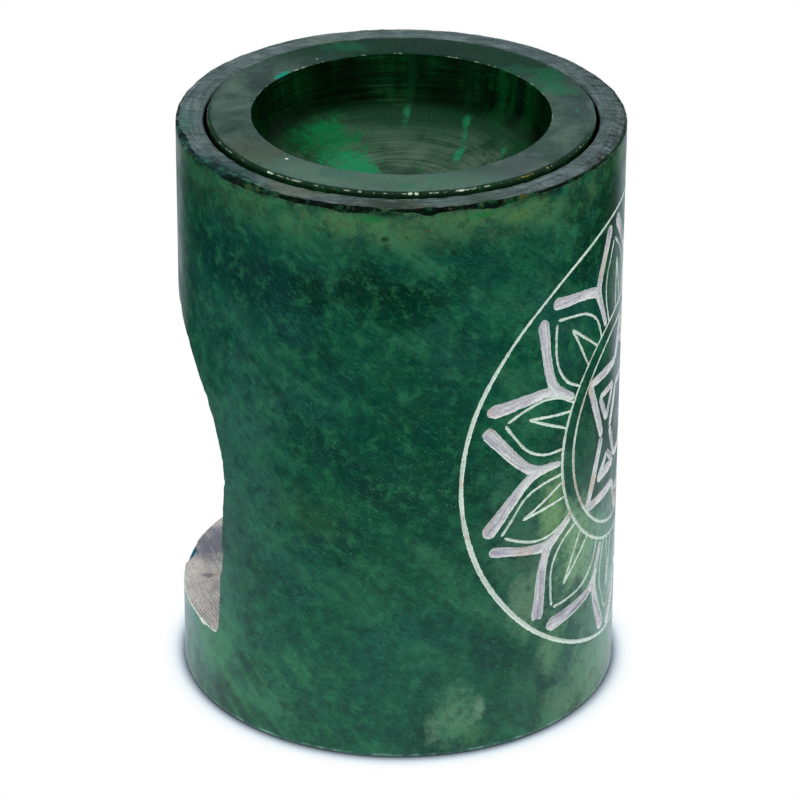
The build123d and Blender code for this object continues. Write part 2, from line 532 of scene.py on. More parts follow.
@dataclass(frozen=True)
class DyedWall(TurnedFinish):
    """The outer wall: soapstone dyed a cloudy deep green and waxed."""

    rubbing: Rubbing = Rubbing(7 * MM, 4, 0.6, 2.2, 0.06, 0.08)
    streak_lead: float = 1.25
    patches: Patches = (
        (-78, 44, 17, 36, (44, 96, 82), 0.7), (-90, 13, 22, 15, (46, 124, 100), 0.8),
        (-84, 13, 9, 8, (62, 134, 88), 0.6), (-12, 82, 17, 10, (4, 46, 28), 0.9),
        (-84, 90, 16, 7, (22, 58, 42), 0.8), (-72, 80.5, 24, 7, (8, 48, 44), 0.85),
        (-51, 80.5, 16, 7.5, (0, 42, 26), 0.95), (-44, 54, 14, 28, (4, 64, 46), 0.7),
        (-56, 16, 26, 26, (15, 88, 66), 0.65), (-25, 35, 15, 20, (84, 126, 104), 0.4),
        (-27, 25, 5, 9, (116, 150, 118), 0.5), (-22, 40, 4.2, 11, (124, 164, 112), 0.8),
        (-15, 28, 8.5, 12, (128, 170, 128), 0.85), (-5, 20, 13, 24, (98, 150, 126), 0.7),
        (-8, 4, 15, 10, (100, 150, 104), 0.6), (-21.5, 14, 3.4, 8, (92, 140, 98), 0.55),
        (-21, 3, 5, 7, (92, 140, 106), 0.55), (-23, 13, 3, 5, (98, 142, 112), 0.4),
        (-19, 9, 3.6, 5, (44, 98, 82), 0.5), (-70, 6, 8, 5, (66, 136, 102), 0.5),
        (-8, 14, 10, 16, (74, 132, 104), 0.6), (-39.5, 6, 5, 8.5, (82, 132, 100), 0.85),
        (-27, 8, 4.5, 7, (50, 108, 86), 0.5), (-36.5, 2.4, 4, 3.4, (72, 128, 78), 0.6),
        (-43.5, 4.5, 1.8, 3.6, (108, 148, 118), 0.4), (-35.4, 8.2, 1.4, 2.6, (118, 158, 130), 0.6),
        (-42, 24, 3, 8, (12, 70, 58), 0.3), (-62, 42, 8, 8, (44, 96, 58), 0.45),
        (-53, 31, 7, 9, (40, 98, 62), 0.3), (44, 66, 14, 20, (20, 84, 62), 0.6),
        (66, 24, 12, 24, (84, 130, 90), 0.5), (90, 82, 22, 8, (14, 54, 56), 0.7),
        (-104, 86, 12, 10, (48, 96, 78), 0.5),
    )
    dots: Patches = (
        (-51, 90.2, 0.9, 0.7, (12, 44, 24), 0.85), (-40.6, 87.6, 0.7, 0.7, (10, 46, 30), 0.8),
        (-34.2, 87.0, 0.5, 0.5, (10, 50, 34), 0.7), (-57, 92.2, 1.1, 0.6, (84, 74, 44), 0.45),
        (-44.6, 91.6, 0.9, 0.5, (86, 78, 46), 0.4), (-53, 93.4, 3.6, 0.8, (6, 116, 50), 0.7),
        (-36, 93.4, 3.2, 0.7, (10, 112, 50), 0.6), (-30, 92, 3, 1.4, (86, 124, 60), 0.4),
        (-8, 89, 6.5, 9, (4, 48, 24), 0.85), (-18, 89.5, 5, 4, (6, 44, 24), 0.7),
    )

    def lay_colour(self, coat: TurnedCoat) -> None:
        """Clouds, slanted streaks, the listed patches, the olive band and the specks.

        Args:
            coat: The coat.
        """
        clouds = coat.noise(coat.twisted(self.streak_lead, 0.5), 15, 5, 0.6, 3.1, 0.5)
        streaks = coat.noise(coat.twisted(self.streak_lead, 0.1), 1.6, 4, 0.6, 8.4)
        ragged = (coat.noise(coat.wall, 6, 5, 0.7, 1.7) - 0.5) * 2.3
        tone = clouds * 1.1 - 0.05 + (streaks - 0.5) * 0.17
        coat.colour = coat.ramp(
            tone, (0.3, 4, 52, 42), (0.45, 8, 67, 50), (0.57, 18, 83, 60), (0.74, 52, 112, 80)
        )
        cool = coat.noise(coat.place, 12 * MM, 4, 0.62, 5.2)
        coat.lay(coat.smooth(cool, 0.48, 0.68) * 0.5, paint(20, 70, 68))
        coat.lay_patches(coat.wall, self.patches, ragged, 0.8)
        lines = coat.noise(coat.twisted(self.streak_lead * 0.8, 0.14), 3.0, 3, 0.55, 2.6)
        scratched = coat.patch(coat.wall, (-75, 6, 0), (22, 12, 1), ragged, 0.95)
        coat.lay(coat.smooth(lines, 0.38, 0.74) * scratched * 0.75, paint(62, 138, 86))
        olive = coat.smooth(coat.noise(coat.wall, 6, 4, 0.6, 6.1), 0.3, 0.58)
        front = coat.smooth(coat.angle * coat.reach, -84.0, -54.0, 0.3, 1.0)
        coat.lay(coat.smooth(coat.up + ragged * 2.4, 86.5, 93.0) * front * olive * 0.85, paint(72, 116, 74))
        rust = coat.smooth(coat.noise(coat.wall, 2.2, 3, 0.6, 9.5), 0.58, 0.7)
        coat.lay(rust * coat.smooth(coat.up, 87.5, 93) * 0.25, paint(98, 92, 54))
        # A dark band just below the rim's broken edge: partly dye, partly painted shade under the edge
        dark_band_dye_and_shade = coat.smooth(coat.noise(coat.wall, 4.5, 4, 0.6, 13.0), 0.36, 0.52)
        coat.lay(coat.smooth(coat.up + ragged * 0.9, 93.3, 94.8) * dark_band_dye_and_shade * 0.85, paint(4, 26, 16))
        coat.lay_patches(coat.wall, self.dots, ragged * 0.4, 0.7)
        self.lay_grain(coat)
        coat.lay_worn_rim_and_painted_shade()

    def lay_grain(self, coat: TurnedCoat) -> None:
        """Lays the stone's fine mottling, its pale specks, its dark pores and a pale line round its foot.

        Args:
            coat: The coat.
        """
        fibres = coat.noise(coat.twisted(self.streak_lead, 0.7), 0.5, 4, 0.72, 4.4)
        coat.lay(coat.smooth(fibres, 0.5, 0.76) * 0.46, paint(40, 130, 98))
        coat.lay(coat.smooth(fibres, 0.5, 0.27) * 0.55, paint(0, 40, 30))
        blotch = coat.noise(coat.place, 2.3 * MM, 4, 0.65, 12.0)
        coat.lay(coat.smooth(blotch, 0.5, 0.68) * 0.42, paint(42, 118, 78))
        coat.lay(coat.smooth(blotch, 0.5, 0.32) * 0.5, paint(2, 50, 42))
        where = coat.noise(coat.place, 9 * MM, 2, 0.5, 7.7)
        dusty = coat.smooth(where, 0.45, 0.64, 0.1, 1.0) * coat.smooth(coat.up, 72, 54, 0.3, 1.0)
        clumps = coat.smooth(coat.noise(coat.place, 1.1 * MM, 1), 0.5, 0.64)
        coat.lay(coat.specks(coat.place, 0.32 * MM, 0.36, 1.0) * clumps * dusty * 0.55, paint(98, 158, 122))
        coat.lay(self.pores(coat) * 0.5, paint(4, 30, 26))
        # A pale line round the foot: partly stone worn by rubbing, partly a painted highlight where the base
        # edge catches light
        rubbed = coat.smooth(coat.noise(coat.place, 3.4 * MM, 4, 0.6, 3.0), 0.46, 0.66, 0.05, 0.8)
        foot = coat.smooth(coat.up, 0.75, 0.5) * coat.smooth(coat.up, 0.15, 0.35)
        coat.lay(foot * rubbed, paint(116, 158, 146))

    def pores(self, coat: TurnedCoat) -> Term:
        """The stone's scattered pores."""
        return coat.specks(coat.place, 1.9 * MM, 0.13, 2.0)

    def height_of(self, coat: TurnedCoat) -> Optional[Term]:
        """Sanding scratches that follow the streaks, and fine pores.

        Args:
            coat: The coat.

        Returns:
            The height.
        """
        scratches = coat.noise(coat.twisted(self.streak_lead, 0.06), 0.5, 3, 0.6, 1.1)
        lumps = coat.noise(coat.place, 2.6 * MM, 3, 0.55, 3.3)
        return scratches * 0.35 + lumps - self.pores(coat) * 0.8


@dataclass(frozen=True)
class RimStone(TurnedFinish):
    """The rim's flat top and its broken edge, dark partly with dye that gathered there and partly with
    painted shade.
    """

    rubbing: Rubbing = Rubbing(3 * MM, 3, 0.6, 1.4, 0.07, 0.12)
    patches: Patches = (
        (-25, 23, 6, 9, (14, 66, 62), 0.7), (-10, 33, 9, 4, (60, 108, 100), 0.6),
        (-33, -5, 3, 10, (46, 56, 40), 0.85), (-30, 10, 5, 8, (92, 102, 84), 0.7),
        (-34.2, -5.8, 1.2, 1.4, (4, 20, 10), 0.8), (-33.4, -9.4, 1.4, 1.8, (92, 92, 30), 0.7),
        (-29, -18, 6, 7, (40, 62, 50), 0.5), (8, -32, 12, 4, (70, 88, 86), 0.5),
        (26, 14, 5, 9, (88, 108, 80), 0.4),
    )

    def lay_colour(self, coat: TurnedCoat) -> None:
        """Grey-green stone with lathe rings, radial scratches, stained patches and a dark outer edge, and the
        seat wall in painted shade with painted glints.

        Args:
            coat: The coat.
        """
        cloud = coat.noise(coat.plan, 5, 5, 0.64, 2.9)
        tone = (cloud - 0.5) * 0.55 + (self.lathe_rings(coat) - 0.5) * 0.65 + 0.5
        coat.colour = coat.ramp(tone, (0.3, 44, 62, 60), (0.5, 81, 99, 99), (0.7, 116, 132, 134))
        ragged = (coat.noise(coat.plan, 2.4, 4, 0.65, 1.2) - 0.5) * 1.7
        coat.lay_patches(coat.plan, self.patches, ragged, 0.8)
        fine = coat.noise(coat.combine(coat.x, coat.y * 0.15), 0.5, 4, 0.75, 2.0)
        coat.lay(coat.smooth(fine, 0.5, 0.36) * 0.55, paint(22, 42, 36))
        coat.lay(coat.smooth(fine, 0.54, 0.68) * 0.3, paint(128, 140, 136))
        stained = coat.patch(coat.plan, (-26, 23, 0), (9, 13, 1), ragged, 0.7)
        coat.lay(stained * coat.smooth(coat.out + ragged * 0.6, 31.8, 33.6) * 0.9, coat.teal_stain())
        spokes = coat.combine(coat.out * 0.25, coat.angle * 34 + coat.out * 0.5 + ragged * 0.5)
        marks = coat.smooth(coat.noise(spokes, 0.9, 4, 0.7, 5.0), 0.5, 0.6)
        side = coat.smooth(coat.angle.apply("ABSOLUTE"), 1.05, 0.5)
        coat.lay(marks * side * coat.smooth(coat.out + ragged * 0.9, 31.4, 34.0) * 0.85, paint(10, 24, 20))
        coat.lay(side * coat.smooth(coat.out + ragged * 0.4, 34.2, 34.8) * 0.8, paint(8, 22, 14))
        coat.lay_worn_rim_and_painted_shade()
        # Painted shade: the seat wall down in the gap round the dish is painted near-black, with painted
        # yellow-green glints
        seat = coat.smooth(coat.up, 94.7, 94.2) * coat.smooth(coat.out, 31.6, 31.2)
        painted_glints = coat.smooth(coat.noise(coat.wall, 1.4, 3, 0.6, 8.0), 0.56, 0.72)
        coat.lay(seat, coat.mix(painted_glints * 0.7, paint(2, 11, 5), paint(36, 62, 16)))

    def lathe_rings(self, coat: TurnedCoat) -> Term:
        """The fine rings of the lathe tool."""
        return coat.noise(coat.rings(1.5), 0.32, 3, 0.6, 4.0)

    def height_of(self, coat: TurnedCoat) -> Optional[Term]:
        """Lathe rings, pits and a lumpy surface.

        Args:
            coat: The coat.

        Returns:
            The height.
        """
        lumps = coat.noise(coat.place, 1.6 * MM, 4, 0.6, 2.0)
        pits = coat.specks(coat.place, 1.5 * MM, 0.22, 3.0)
        return self.lathe_rings(coat) * 0.9 + lumps * 0.6 - pits * 0.7


@dataclass(frozen=True)
class BareStone(TurnedFinish):
    """Undyed soapstone where the arch and the chamber were cut after dyeing."""

    saw_angle: float = 0.5
    comb_turn: float = 1.39
    comb_middle: float = 30.5
    comb_pitch: float = 0.52
    purple_grey_zones: tuple[tuple, ...] = (
        ((4.5, 31, 13.5), (7, 9, 14), 0.6, 0.8, (104, 114, 134)),
        ((-6.4, 30.4, 13.5), (1.1, 2.4, 3), 0.8, 0.7, (116, 100, 118)),
        ((-9.5, 28.4, 13.5), (3.4, 1.3, 3), 0.9, 0.45, (126, 112, 132)),
    )

    def lay_colour(self, coat: TurnedCoat) -> None:
        """Warm pale grey with purple-grey zones, saw marks and a teal run of dye at the sill's edge.

        Args:
            coat: The coat.
        """
        cloud = coat.noise(coat.solid, 7, 5, 0.62, 4.3, 0.6)
        coat.colour = coat.ramp(cloud, (0.32, 154, 152, 160), (0.48, 194, 192, 189), (0.66, 220, 217, 210))
        ragged = self.ragged(coat)
        for centre, reach, soft, strength, colour in self.purple_grey_zones:
            coat.lay(coat.patch(coat.solid, centre, reach, ragged, soft) * strength, paint(*colour))
        vein = (coat.noise(coat.solid, 3.6, 3, 0.5, 7.2, 1.2) - 0.5).apply("ABSOLUTE")
        coat.lay(coat.smooth(vein, 0.03, 0.0) * 0.35, paint(120, 104, 100))
        coat.lay(coat.smooth(self.saw_marks(coat), 0.46, 0.62) * 0.3, paint(212, 208, 202))
        combed = self.comb_marks(coat, ragged)
        coat.lay(coat.smooth(combed, 0.0, 0.9) * 0.5, paint(218, 211, 204))
        coat.lay(coat.smooth(combed, 0.0, -0.9) * 0.6, paint(120, 110, 114))
        grain = coat.noise(coat.place, 0.5 * MM, 3, 0.7, 1.0)
        coat.lay(coat.smooth(grain, 0.48, 0.25) * 0.4, paint(104, 98, 98))
        teal = coat.patch(coat.solid, (0.4, 34.9, 13.0), (3.6, 1.1, 1.6), ragged * 0.4, 0.35)
        coat.lay(teal, paint(4, 104, 124))
        coat.lay(coat.smooth(coat.out + ragged * 0.35, 34.55, 34.95) * 0.3, paint(120, 146, 132))

    def ragged(self, coat: TurnedCoat) -> Term:
        """What breaks the edges of the purple-grey zones."""
        return (coat.noise(coat.solid, 2.6, 4, 0.6, 2.1) - 0.5) * 1.5

    def comb_marks(self, coat: TurnedCoat, ragged: Term) -> Term:
        """The rasp's ridges at the sill's end, which meet along a line like a herring's bones.

        Args:
            coat: The coat.
            ragged: What breaks the edge of the rasped place.

        Returns:
            1 on a crest, -1 in a groove and 0 where nothing is rasped.
        """
        aside, along, _ = coat.separate(coat.turned(coat.solid, self.comb_turn))
        wander = coat.noise(coat.solid, 1.6, 3, 0.6, 3.0)
        ridge = (aside + self.comb_middle).apply("ABSOLUTE") * 0.93 + along * 0.37 + wander * 1.1
        crest = (ridge * (math.tau / self.comb_pitch)).apply("SINE") * 0.8
        zone = coat.patch(coat.solid, (-19.5, 28, 13.5), (9, 8, 8), ragged * 0.5, 0.6)
        return crest * zone * coat.smooth(wander, 0.25, 0.6, 0.35, 1.0)

    def saw_marks(self, coat: TurnedCoat) -> Term:
        """Straight, slightly uneven ridges at an angle."""
        squeezed = coat.vector("MULTIPLY", coat.turned(coat.solid, -self.saw_angle), (0.1, 1.0, 1.0))
        return coat.noise(squeezed, 0.55, 2, 0.5, 3.7)

    def height_of(self, coat: TurnedCoat) -> Optional[Term]:
        """Saw marks over a rough grain."""
        grain = coat.noise(coat.place, 0.45 * MM, 3, 0.65, 1.0)
        return self.saw_marks(coat) * 1.6 + grain + self.comb_marks(coat, self.ragged(coat)) * 0.35


@dataclass(frozen=True)
class CutStone(Finish):
    """The floor of an engraved line: bare stone, rubbed by the burr along the line."""

    def lay_colour(self, coat: Coat) -> None:
        """Pale lilac-grey with darker bands along the line and specks of dye.

        Args:
            coat: The coat.
        """
        lanes = coat.combine(coat.attribute("along") * (0.22 / MM), coat.attribute("round") * 16)
        bands = coat.noise(lanes, 1.0, 3, 0.6, 2.0)
        broad = coat.ramp(bands, (0.32, 138, 138, 158), (0.44, 184, 184, 192), (0.6, 216, 219, 218))
        thin = coat.ramp(bands, (0.3, 182, 204, 192), (0.6, 224, 238, 228))
        coat.colour = coat.mix(coat.attribute("bold"), thin, broad)
        warm = coat.noise(coat.place, 7 * MM, 2, 0.5, 4.0)
        coat.lay(coat.smooth(warm, 0.58, 0.68) * 0.6, paint(196, 176, 156))
        grain = coat.noise(coat.place, 0.3 * MM, 3, 0.7, 1.0)
        coat.lay(coat.smooth(grain, 0.5, 0.3) * 0.6, paint(116, 124, 132))
        coat.lay(coat.smooth(grain, 0.54, 0.7) * 0.5, paint(226, 232, 226))

    def height_of(self, coat: Coat) -> Optional[Term]:
        """Chatter of the burr and a crumbly grain."""
        return coat.noise(coat.place, 0.4 * MM, 3, 0.7, 1.0)


@dataclass(frozen=True)
class DishStone(TurnedFinish):
    """The dish's ring and outside: polished, greyer green stone with emerald stain patches and worn edges,
    partly painted highlight, and painted shade in the gap.
    """

    rubbing: Rubbing = Rubbing(5 * MM, 4, 0.6, 3.9, 0.07, 0.09)
    turned_radius: float = 30.2 * MM
    patches: Patches = (
        (24, 14, 3, 6.4, (4, 88, 56), 0.65), (17, -20.5, 7, 3.4, (4, 92, 58), 0.7),
        (20, -16, 2.4, 5, (8, 84, 56), 0.55), (13, -23, 3, 4, (20, 104, 76), 0.5),
        (-24.5, 5, 2.4, 4, (30, 94, 76), 0.45), (-27, -6, 2.4, 2, (28, 104, 74), 0.5),
        (-24, -10, 4, 2, (40, 104, 80), 0.4), (-20, 18, 6, 5, (70, 82, 62), 0.6),
        (-17, 22, 5, 4, (64, 70, 62), 0.5), (8, 24, 9, 3, (34, 50, 50), 0.6),
        (26, 0, 4, 10, (18, 40, 32), 0.6), (4, -27, 8, 4, (44, 64, 66), 0.5),
        (-16, -21, 7, 4, (76, 84, 90), 0.5),
    )
    dots: Patches = (
        (-20.8, 13.8, 0.36, 0.36, (206, 222, 208), 0.95), (5.8, -26.6, 0.4, 0.3, (66, 128, 106), 0.9),
        (18, 17, 0.36, 0.3, (110, 150, 130), 0.7),
    )

    def lay_colour(self, coat: TurnedCoat) -> None:
        """Clouded grey-green, the stain patches, pale stone where the edges are worn, partly painted
        highlight, and painted shade in the gap.

        Args:
            coat: The coat.
        """
        cloud = coat.noise(coat.plan, 6, 5, 0.64, 1.8, 0.5)
        coat.colour = coat.ramp(cloud, (0.32, 38, 62, 54), (0.5, 58, 82, 73), (0.68, 78, 101, 90))
        clouded = coat.x + (cloud - 0.5) * 12
        coat.lay(coat.smooth(clouded, 12.0, 22.0) * 0.95, paint(4, 49, 31))
        coat.lay(coat.smooth(clouded, -18.0, -24.0) * 0.6, paint(82, 116, 102))
        smears = coat.noise(coat.combine(coat.out * 0.3, coat.angle * 22), 1.6, 3, 0.6, 3.0)
        ragged = (coat.noise(coat.plan, 1.8, 5, 0.72, 6.2) - 0.5) * 2.2 + (smears - 0.5) * 1.2
        coat.lay_patches(coat.plan, self.patches, ragged, 0.7)
        mottle = coat.noise(coat.place, 0.6 * MM, 3, 0.7, 2.4)
        coat.lay(coat.smooth(mottle, 0.48, 0.25) * 0.45, paint(12, 30, 26))
        coat.lay(coat.smooth(mottle, 0.55, 0.8) * 0.3, paint(96, 118, 104))
        unrolled = coat.combine(coat.angle * 24, coat.out)
        coat.lay(coat.patch(unrolled, (64.3, 23.7, 0), (2.2, 0.6, 1), ragged * 0.5, 0.4), paint(8, 128, 104))
        coat.lay_patches(coat.plan, self.dots, ragged * 0.3, 0.5)
        self.lay_gap_shade_and_worn_edges(coat)

    def lay_gap_shade_and_worn_edges(self, coat: TurnedCoat) -> None:
        """Painted shade with painted glints down in the gap, a dark band on the near outer edge that is
        partly dye and partly painted shade, and pale stone where the edges are chipped and worn.

        Args:
            coat: The coat.
        """
        # Painted shade: the dish's side down in the gap is painted near-black, with painted yellow-green
        # glints
        side = coat.smooth(coat.up, 95.35, 95.05) * coat.smooth(coat.out, 28.8, 29.4)
        gap_glint_noise = coat.smooth(coat.noise(coat.wall, 1.3, 3, 0.6, 2.0), 0.54, 0.7)
        coat.lay(side, coat.mix(gap_glint_noise * 0.7, paint(3, 14, 6), paint(30, 66, 18)))
        # A dark band on the ring's outer edge on the near side: partly dye, partly painted shade where the
        # edge turns down into the gap
        rolled = coat.smooth(coat.out + (gap_glint_noise - 0.5) * 0.2, 29.3, 29.7) * coat.smooth(coat.x, 4.0, -8.0)
        coat.lay(rolled * 0.9, coat.mix(gap_glint_noise * 0.6, paint(4, 34, 12), paint(12, 70, 30)))
        grain = coat.noise(coat.place, 0.5 * MM, 2, 0.6, 5.5)
        chipped = coat.smooth(coat.attribute("lost") + (grain - 0.5) * 0.14, 0.07, 0.13)
        # Pale lines on the outer edge and the lip: partly worn stone, partly painted highlight
        edge = coat.worn_and_highlit_line((30.15, 95.5), 0.2, 0.35, 3.0) * coat.smooth(coat.x, 4.0, -14.0, 0.45, 1.0)
        pale = chipped.apply("MAXIMUM", edge * 0.8).apply("MAXIMUM", coat.worn_and_highlit_lip() * 0.7)
        rusty = coat.patch(coat.plan, (-19, -23, 0), (5, 5, 1), (grain - 0.5) * 0.8, 0.3)
        coat.lay(pale * 0.92, coat.mix(rusty, paint(188, 208, 184), paint(122, 112, 54)))

    def height_of(self, coat: TurnedCoat) -> Optional[Term]:
        """Faint lathe rings and pits."""
        rings = coat.noise(coat.rings(0.8), 0.3, 3, 0.6, 1.0)
        return rings * 0.5 + coat.noise(coat.place, 2 * MM, 4, 0.6, 6.0)


@dataclass(frozen=True)
class BowlStone(TurnedFinish):
    """The bowl's inside: nearly black green on its wall, greyer on its floor, with emerald runs."""

    turned_radius: float = 30.2 * MM
    patches: Patches = (
        (6, 17, 12, 9, (0, 58, 24), 0.95), (6, -18, 11, 7, (2, 62, 26), 0.9),
        (9, 13, 8.5, 8, (0, 110, 58), 0.9), (4.5, 9, 6, 5.5, (28, 146, 98), 0.9),
        (5, 6.4, 3.4, 2.6, (30, 150, 100), 0.85), (19.6, 2.6, 2.8, 0.8, (14, 122, 76), 0.85),
        (10.5, -7.2, 1.8, 1.0, (40, 142, 100), 0.9), (17.6, -7.3, 1.5, 0.9, (16, 116, 72), 0.85),
        (14.4, -7.5, 2.6, 0.6, (22, 126, 82), 0.85), (11.6, -7.7, 1.7, 0.45, (26, 128, 86), 0.8),
        (10.4, -6.9, 0.6, 1.2, (24, 120, 80), 0.75), (12.5, -12, 4, 3, (14, 56, 34), 0.75),
        (16, -13.4, 4.0, 2.6, (4, 72, 38), 0.8), (9, -14.6, 1.8, 0.7, (18, 124, 74), 0.9),
        (12, -19, 6, 3, (2, 74, 30), 0.9), (-8, 4, 7, 12, (10, 104, 60), 0.5),
        (-12, -12, 5, 5, (20, 118, 76), 0.5), (7, -1.8, 1.4, 0.9, (24, 108, 72), 0.6),
    )
    wall_patches: Patches = (
        (18, -13, 3.6, 3.4, (0, 64, 26), 0.7), (13, -17, 4, 3, (0, 56, 20), 0.6),
        (16.4, -16.4, 2.0, 2.0, (0, 8, 3), 0.85), (22, 2.4, 2, 0.9, (4, 62, 34), 0.4),
        (21, -7, 2, 0.9, (4, 52, 28), 0.3),
    )

    def lay_colour(self, coat: TurnedCoat) -> None:
        """Lathe rings on grey-green, the runs of dye, painted shade where the floor meets the wall, and the
        dark wall above them.

        Args:
            coat: The coat.
        """
        rings = coat.noise(coat.rings(0.35), 0.42, 4, 0.72, 3.0)
        cloud = coat.noise(coat.plan, 6, 4, 0.6, 6.3)
        coat.colour = coat.ramp(
            cloud + (rings - 0.5) * 0.6, (0.3, 30, 60, 44), (0.5, 64, 94, 74), (0.7, 96, 118, 98)
        )
        coat.lay(coat.smooth(coat.x + (cloud - 0.5) * 12, 12.0, 19.0) * 0.75, paint(4, 68, 44))
        # Painted shade: the floor darkens towards its corner with the wall
        coat.lay(coat.smooth(coat.out + (cloud - 0.5) * 4, 15.0, 19.5) * 0.7, paint(0, 44, 18))
        radial = coat.noise(coat.combine(coat.out * 0.35, coat.angle * 9), 1.6, 3, 0.6, 2.0)
        ragged = (coat.noise(coat.plan, 1.6, 6, 0.8, 4.2) - 0.5) * 3 + (radial - 0.5) * 0.7
        coat.lay_patches(coat.plan, self.patches, ragged, 0.85)
        coat.lay(coat.smooth(rings, 0.48, 0.3) * 0.4, paint(8, 38, 24))
        grain = coat.noise(coat.place, 0.45 * MM, 3, 0.7, 9.0)
        coat.lay(coat.smooth(grain, 0.5, 0.8) * 0.16, paint(96, 150, 116))
        coat.lay(coat.smooth(grain, 0.45, 0.2) * 0.3, paint(0, 44, 24))
        runs = coat.noise(coat.combine(coat.up * 0.12, coat.angle * 9), 1.0, 3, 0.6, 5.0)
        steep = coat.noise(coat.combine(coat.up, coat.angle), 0.4, 3, 0.65, 2.0)
        tone = (runs - 0.5) * 0.4 + (steep - 0.5) * 0.7 + cloud
        wall_colour = coat.ramp(tone, (0.34, 1, 12, 3), (0.54, 2, 30, 9), (0.74, 6, 58, 26))
        coat.lay(coat.smooth(coat.out + (cloud - 0.5) * 2.2, 19.0, 21.6), wall_colour)
        coat.lay_patches(coat.plan, self.wall_patches, ragged * 0.8 + (runs + steep - 1) * 2, 0.9)
        # A pale line round the lip: partly worn stone, partly painted highlight
        coat.lay(coat.worn_and_highlit_lip() * 0.7, paint(150, 166, 130))

    def rough_of(self, coat: TurnedCoat) -> Link:
        """Glossier dye on the wall than on the floor."""
        return coat.smooth(coat.out, 19.0, 22.5, self.rough + 0.12, self.rough - 0.04)

    def height_of(self, coat: TurnedCoat) -> Optional[Term]:
        """The lathe rings."""
        rings = coat.noise(coat.rings(0.35), 0.5, 4, 0.65, 3.0)
        return rings + coat.noise(coat.combine(coat.up, 0.0), 0.4, 3, 0.6, 2.0) * 0.6


@dataclass(frozen=True)
class CloudedFinish(Finish):
    """A finish of one tone, which clouds from dark to light.

    Squeeze is how much the cloud's coordinates are shortened up and down, which draws it out.
    """

    cloud: Noise = (MM, 4, 0.6, 1.0)
    squeeze: float = 1.0
    dark: Shade = (0, 0, 0)
    light: Shade = (255, 255, 255)
    grain: Optional[Noise] = None

    def clouded(self, coat: Coat) -> Term:
        """The cloud."""
        return coat.noise(coat.vector("MULTIPLY", coat.place, (1.0, 1.0, self.squeeze)), *self.cloud)

    def lay_colour(self, coat: Coat) -> None:
        """Lays the cloud."""
        coat.colour = coat.ramp(self.clouded(coat), (0.3, *self.dark), (0.7, *self.light))

    def height_of(self, coat: Coat) -> Optional[Term]:
        """The grain, if there is any."""
        return coat.noise(coat.place, *self.grain) if self.grain else None

@dataclass(frozen=True)
class CupAluminium(CloudedFinish):
    """Thin drawn aluminium, with faint drawing marks, fine scuffs and shallow dents."""

    rubbing: Rubbing = Rubbing(1.2 * MM, 4, 0.7, 2.0, 0.06, 0.1)
    cloud: Noise = (0.6 * MM, 3, 0.6, 1.0)
    squeeze: float = 0.1
    dark: Shade = (196, 197, 200)
    light: Shade = (232, 232, 234)
    grain: Optional[Noise] = (2.4 * MM, 3, 0.5, 5.0)


@dataclass(frozen=True)
class CandleWax(CloudedFinish):
    """Cast paraffin wax, off-white, with a satin skin and the frosted ripple of cooling."""

    rubbing: Rubbing = Rubbing(2 * MM, 3, 0.6, 2.0, 0.06, 0.08)
    cloud: Noise = (6 * MM, 4, 0.6, 1.0)
    dark: Shade = (228, 225, 214)
    light: Shade = (244, 242, 234)
    grain: Optional[Noise] = (1.8 * MM, 4, 0.55, 3.0)

    def lay_colour(self, coat: Coat) -> None:
        """Lays the cloud and a few flecks."""
        super().lay_colour(coat)
        coat.lay(coat.specks(coat.place, 1.6 * MM, 0.16, 1.0) * 0.5, paint(252, 251, 246))

    def dress(self, shader: bpy.types.Node) -> None:
        """Lets light go a little way into the wax.

        Args:
            shader: The wax's shader.
        """
        shader.inputs["Subsurface Weight"].default_value = 0.25
        shader.inputs["Subsurface Radius"].default_value = (1.0, 0.8, 0.6)
        shader.inputs["Subsurface Scale"].default_value = 2 * MM


@dataclass(frozen=True)
class CottonWick(CloudedFinish):
    """Waxed cream cotton, whose fibres are its grain too."""

    cloud: Noise = (0.12 * MM, 2, 0.6, 1.0)
    squeeze: float = 0.3
    dark: Shade = (196, 186, 160)
    light: Shade = (240, 234, 216)

    def height_of(self, coat: Coat) -> Optional[Term]:
        """The fibres."""
        return self.clouded(coat)


@dataclass(frozen=True)
class TinnedSteel(CloudedFinish):
    """Pressed, tinned sheet steel with a faint spangle."""

    rubbing: Rubbing = Rubbing(0.8 * MM, 3, 0.6, 4.0, 0.08, 0.1)
    cloud: Noise = (1.0 * MM, 4, 0.6, 1.0)
    dark: Shade = (150, 152, 154)
    light: Shade = (190, 192, 194)


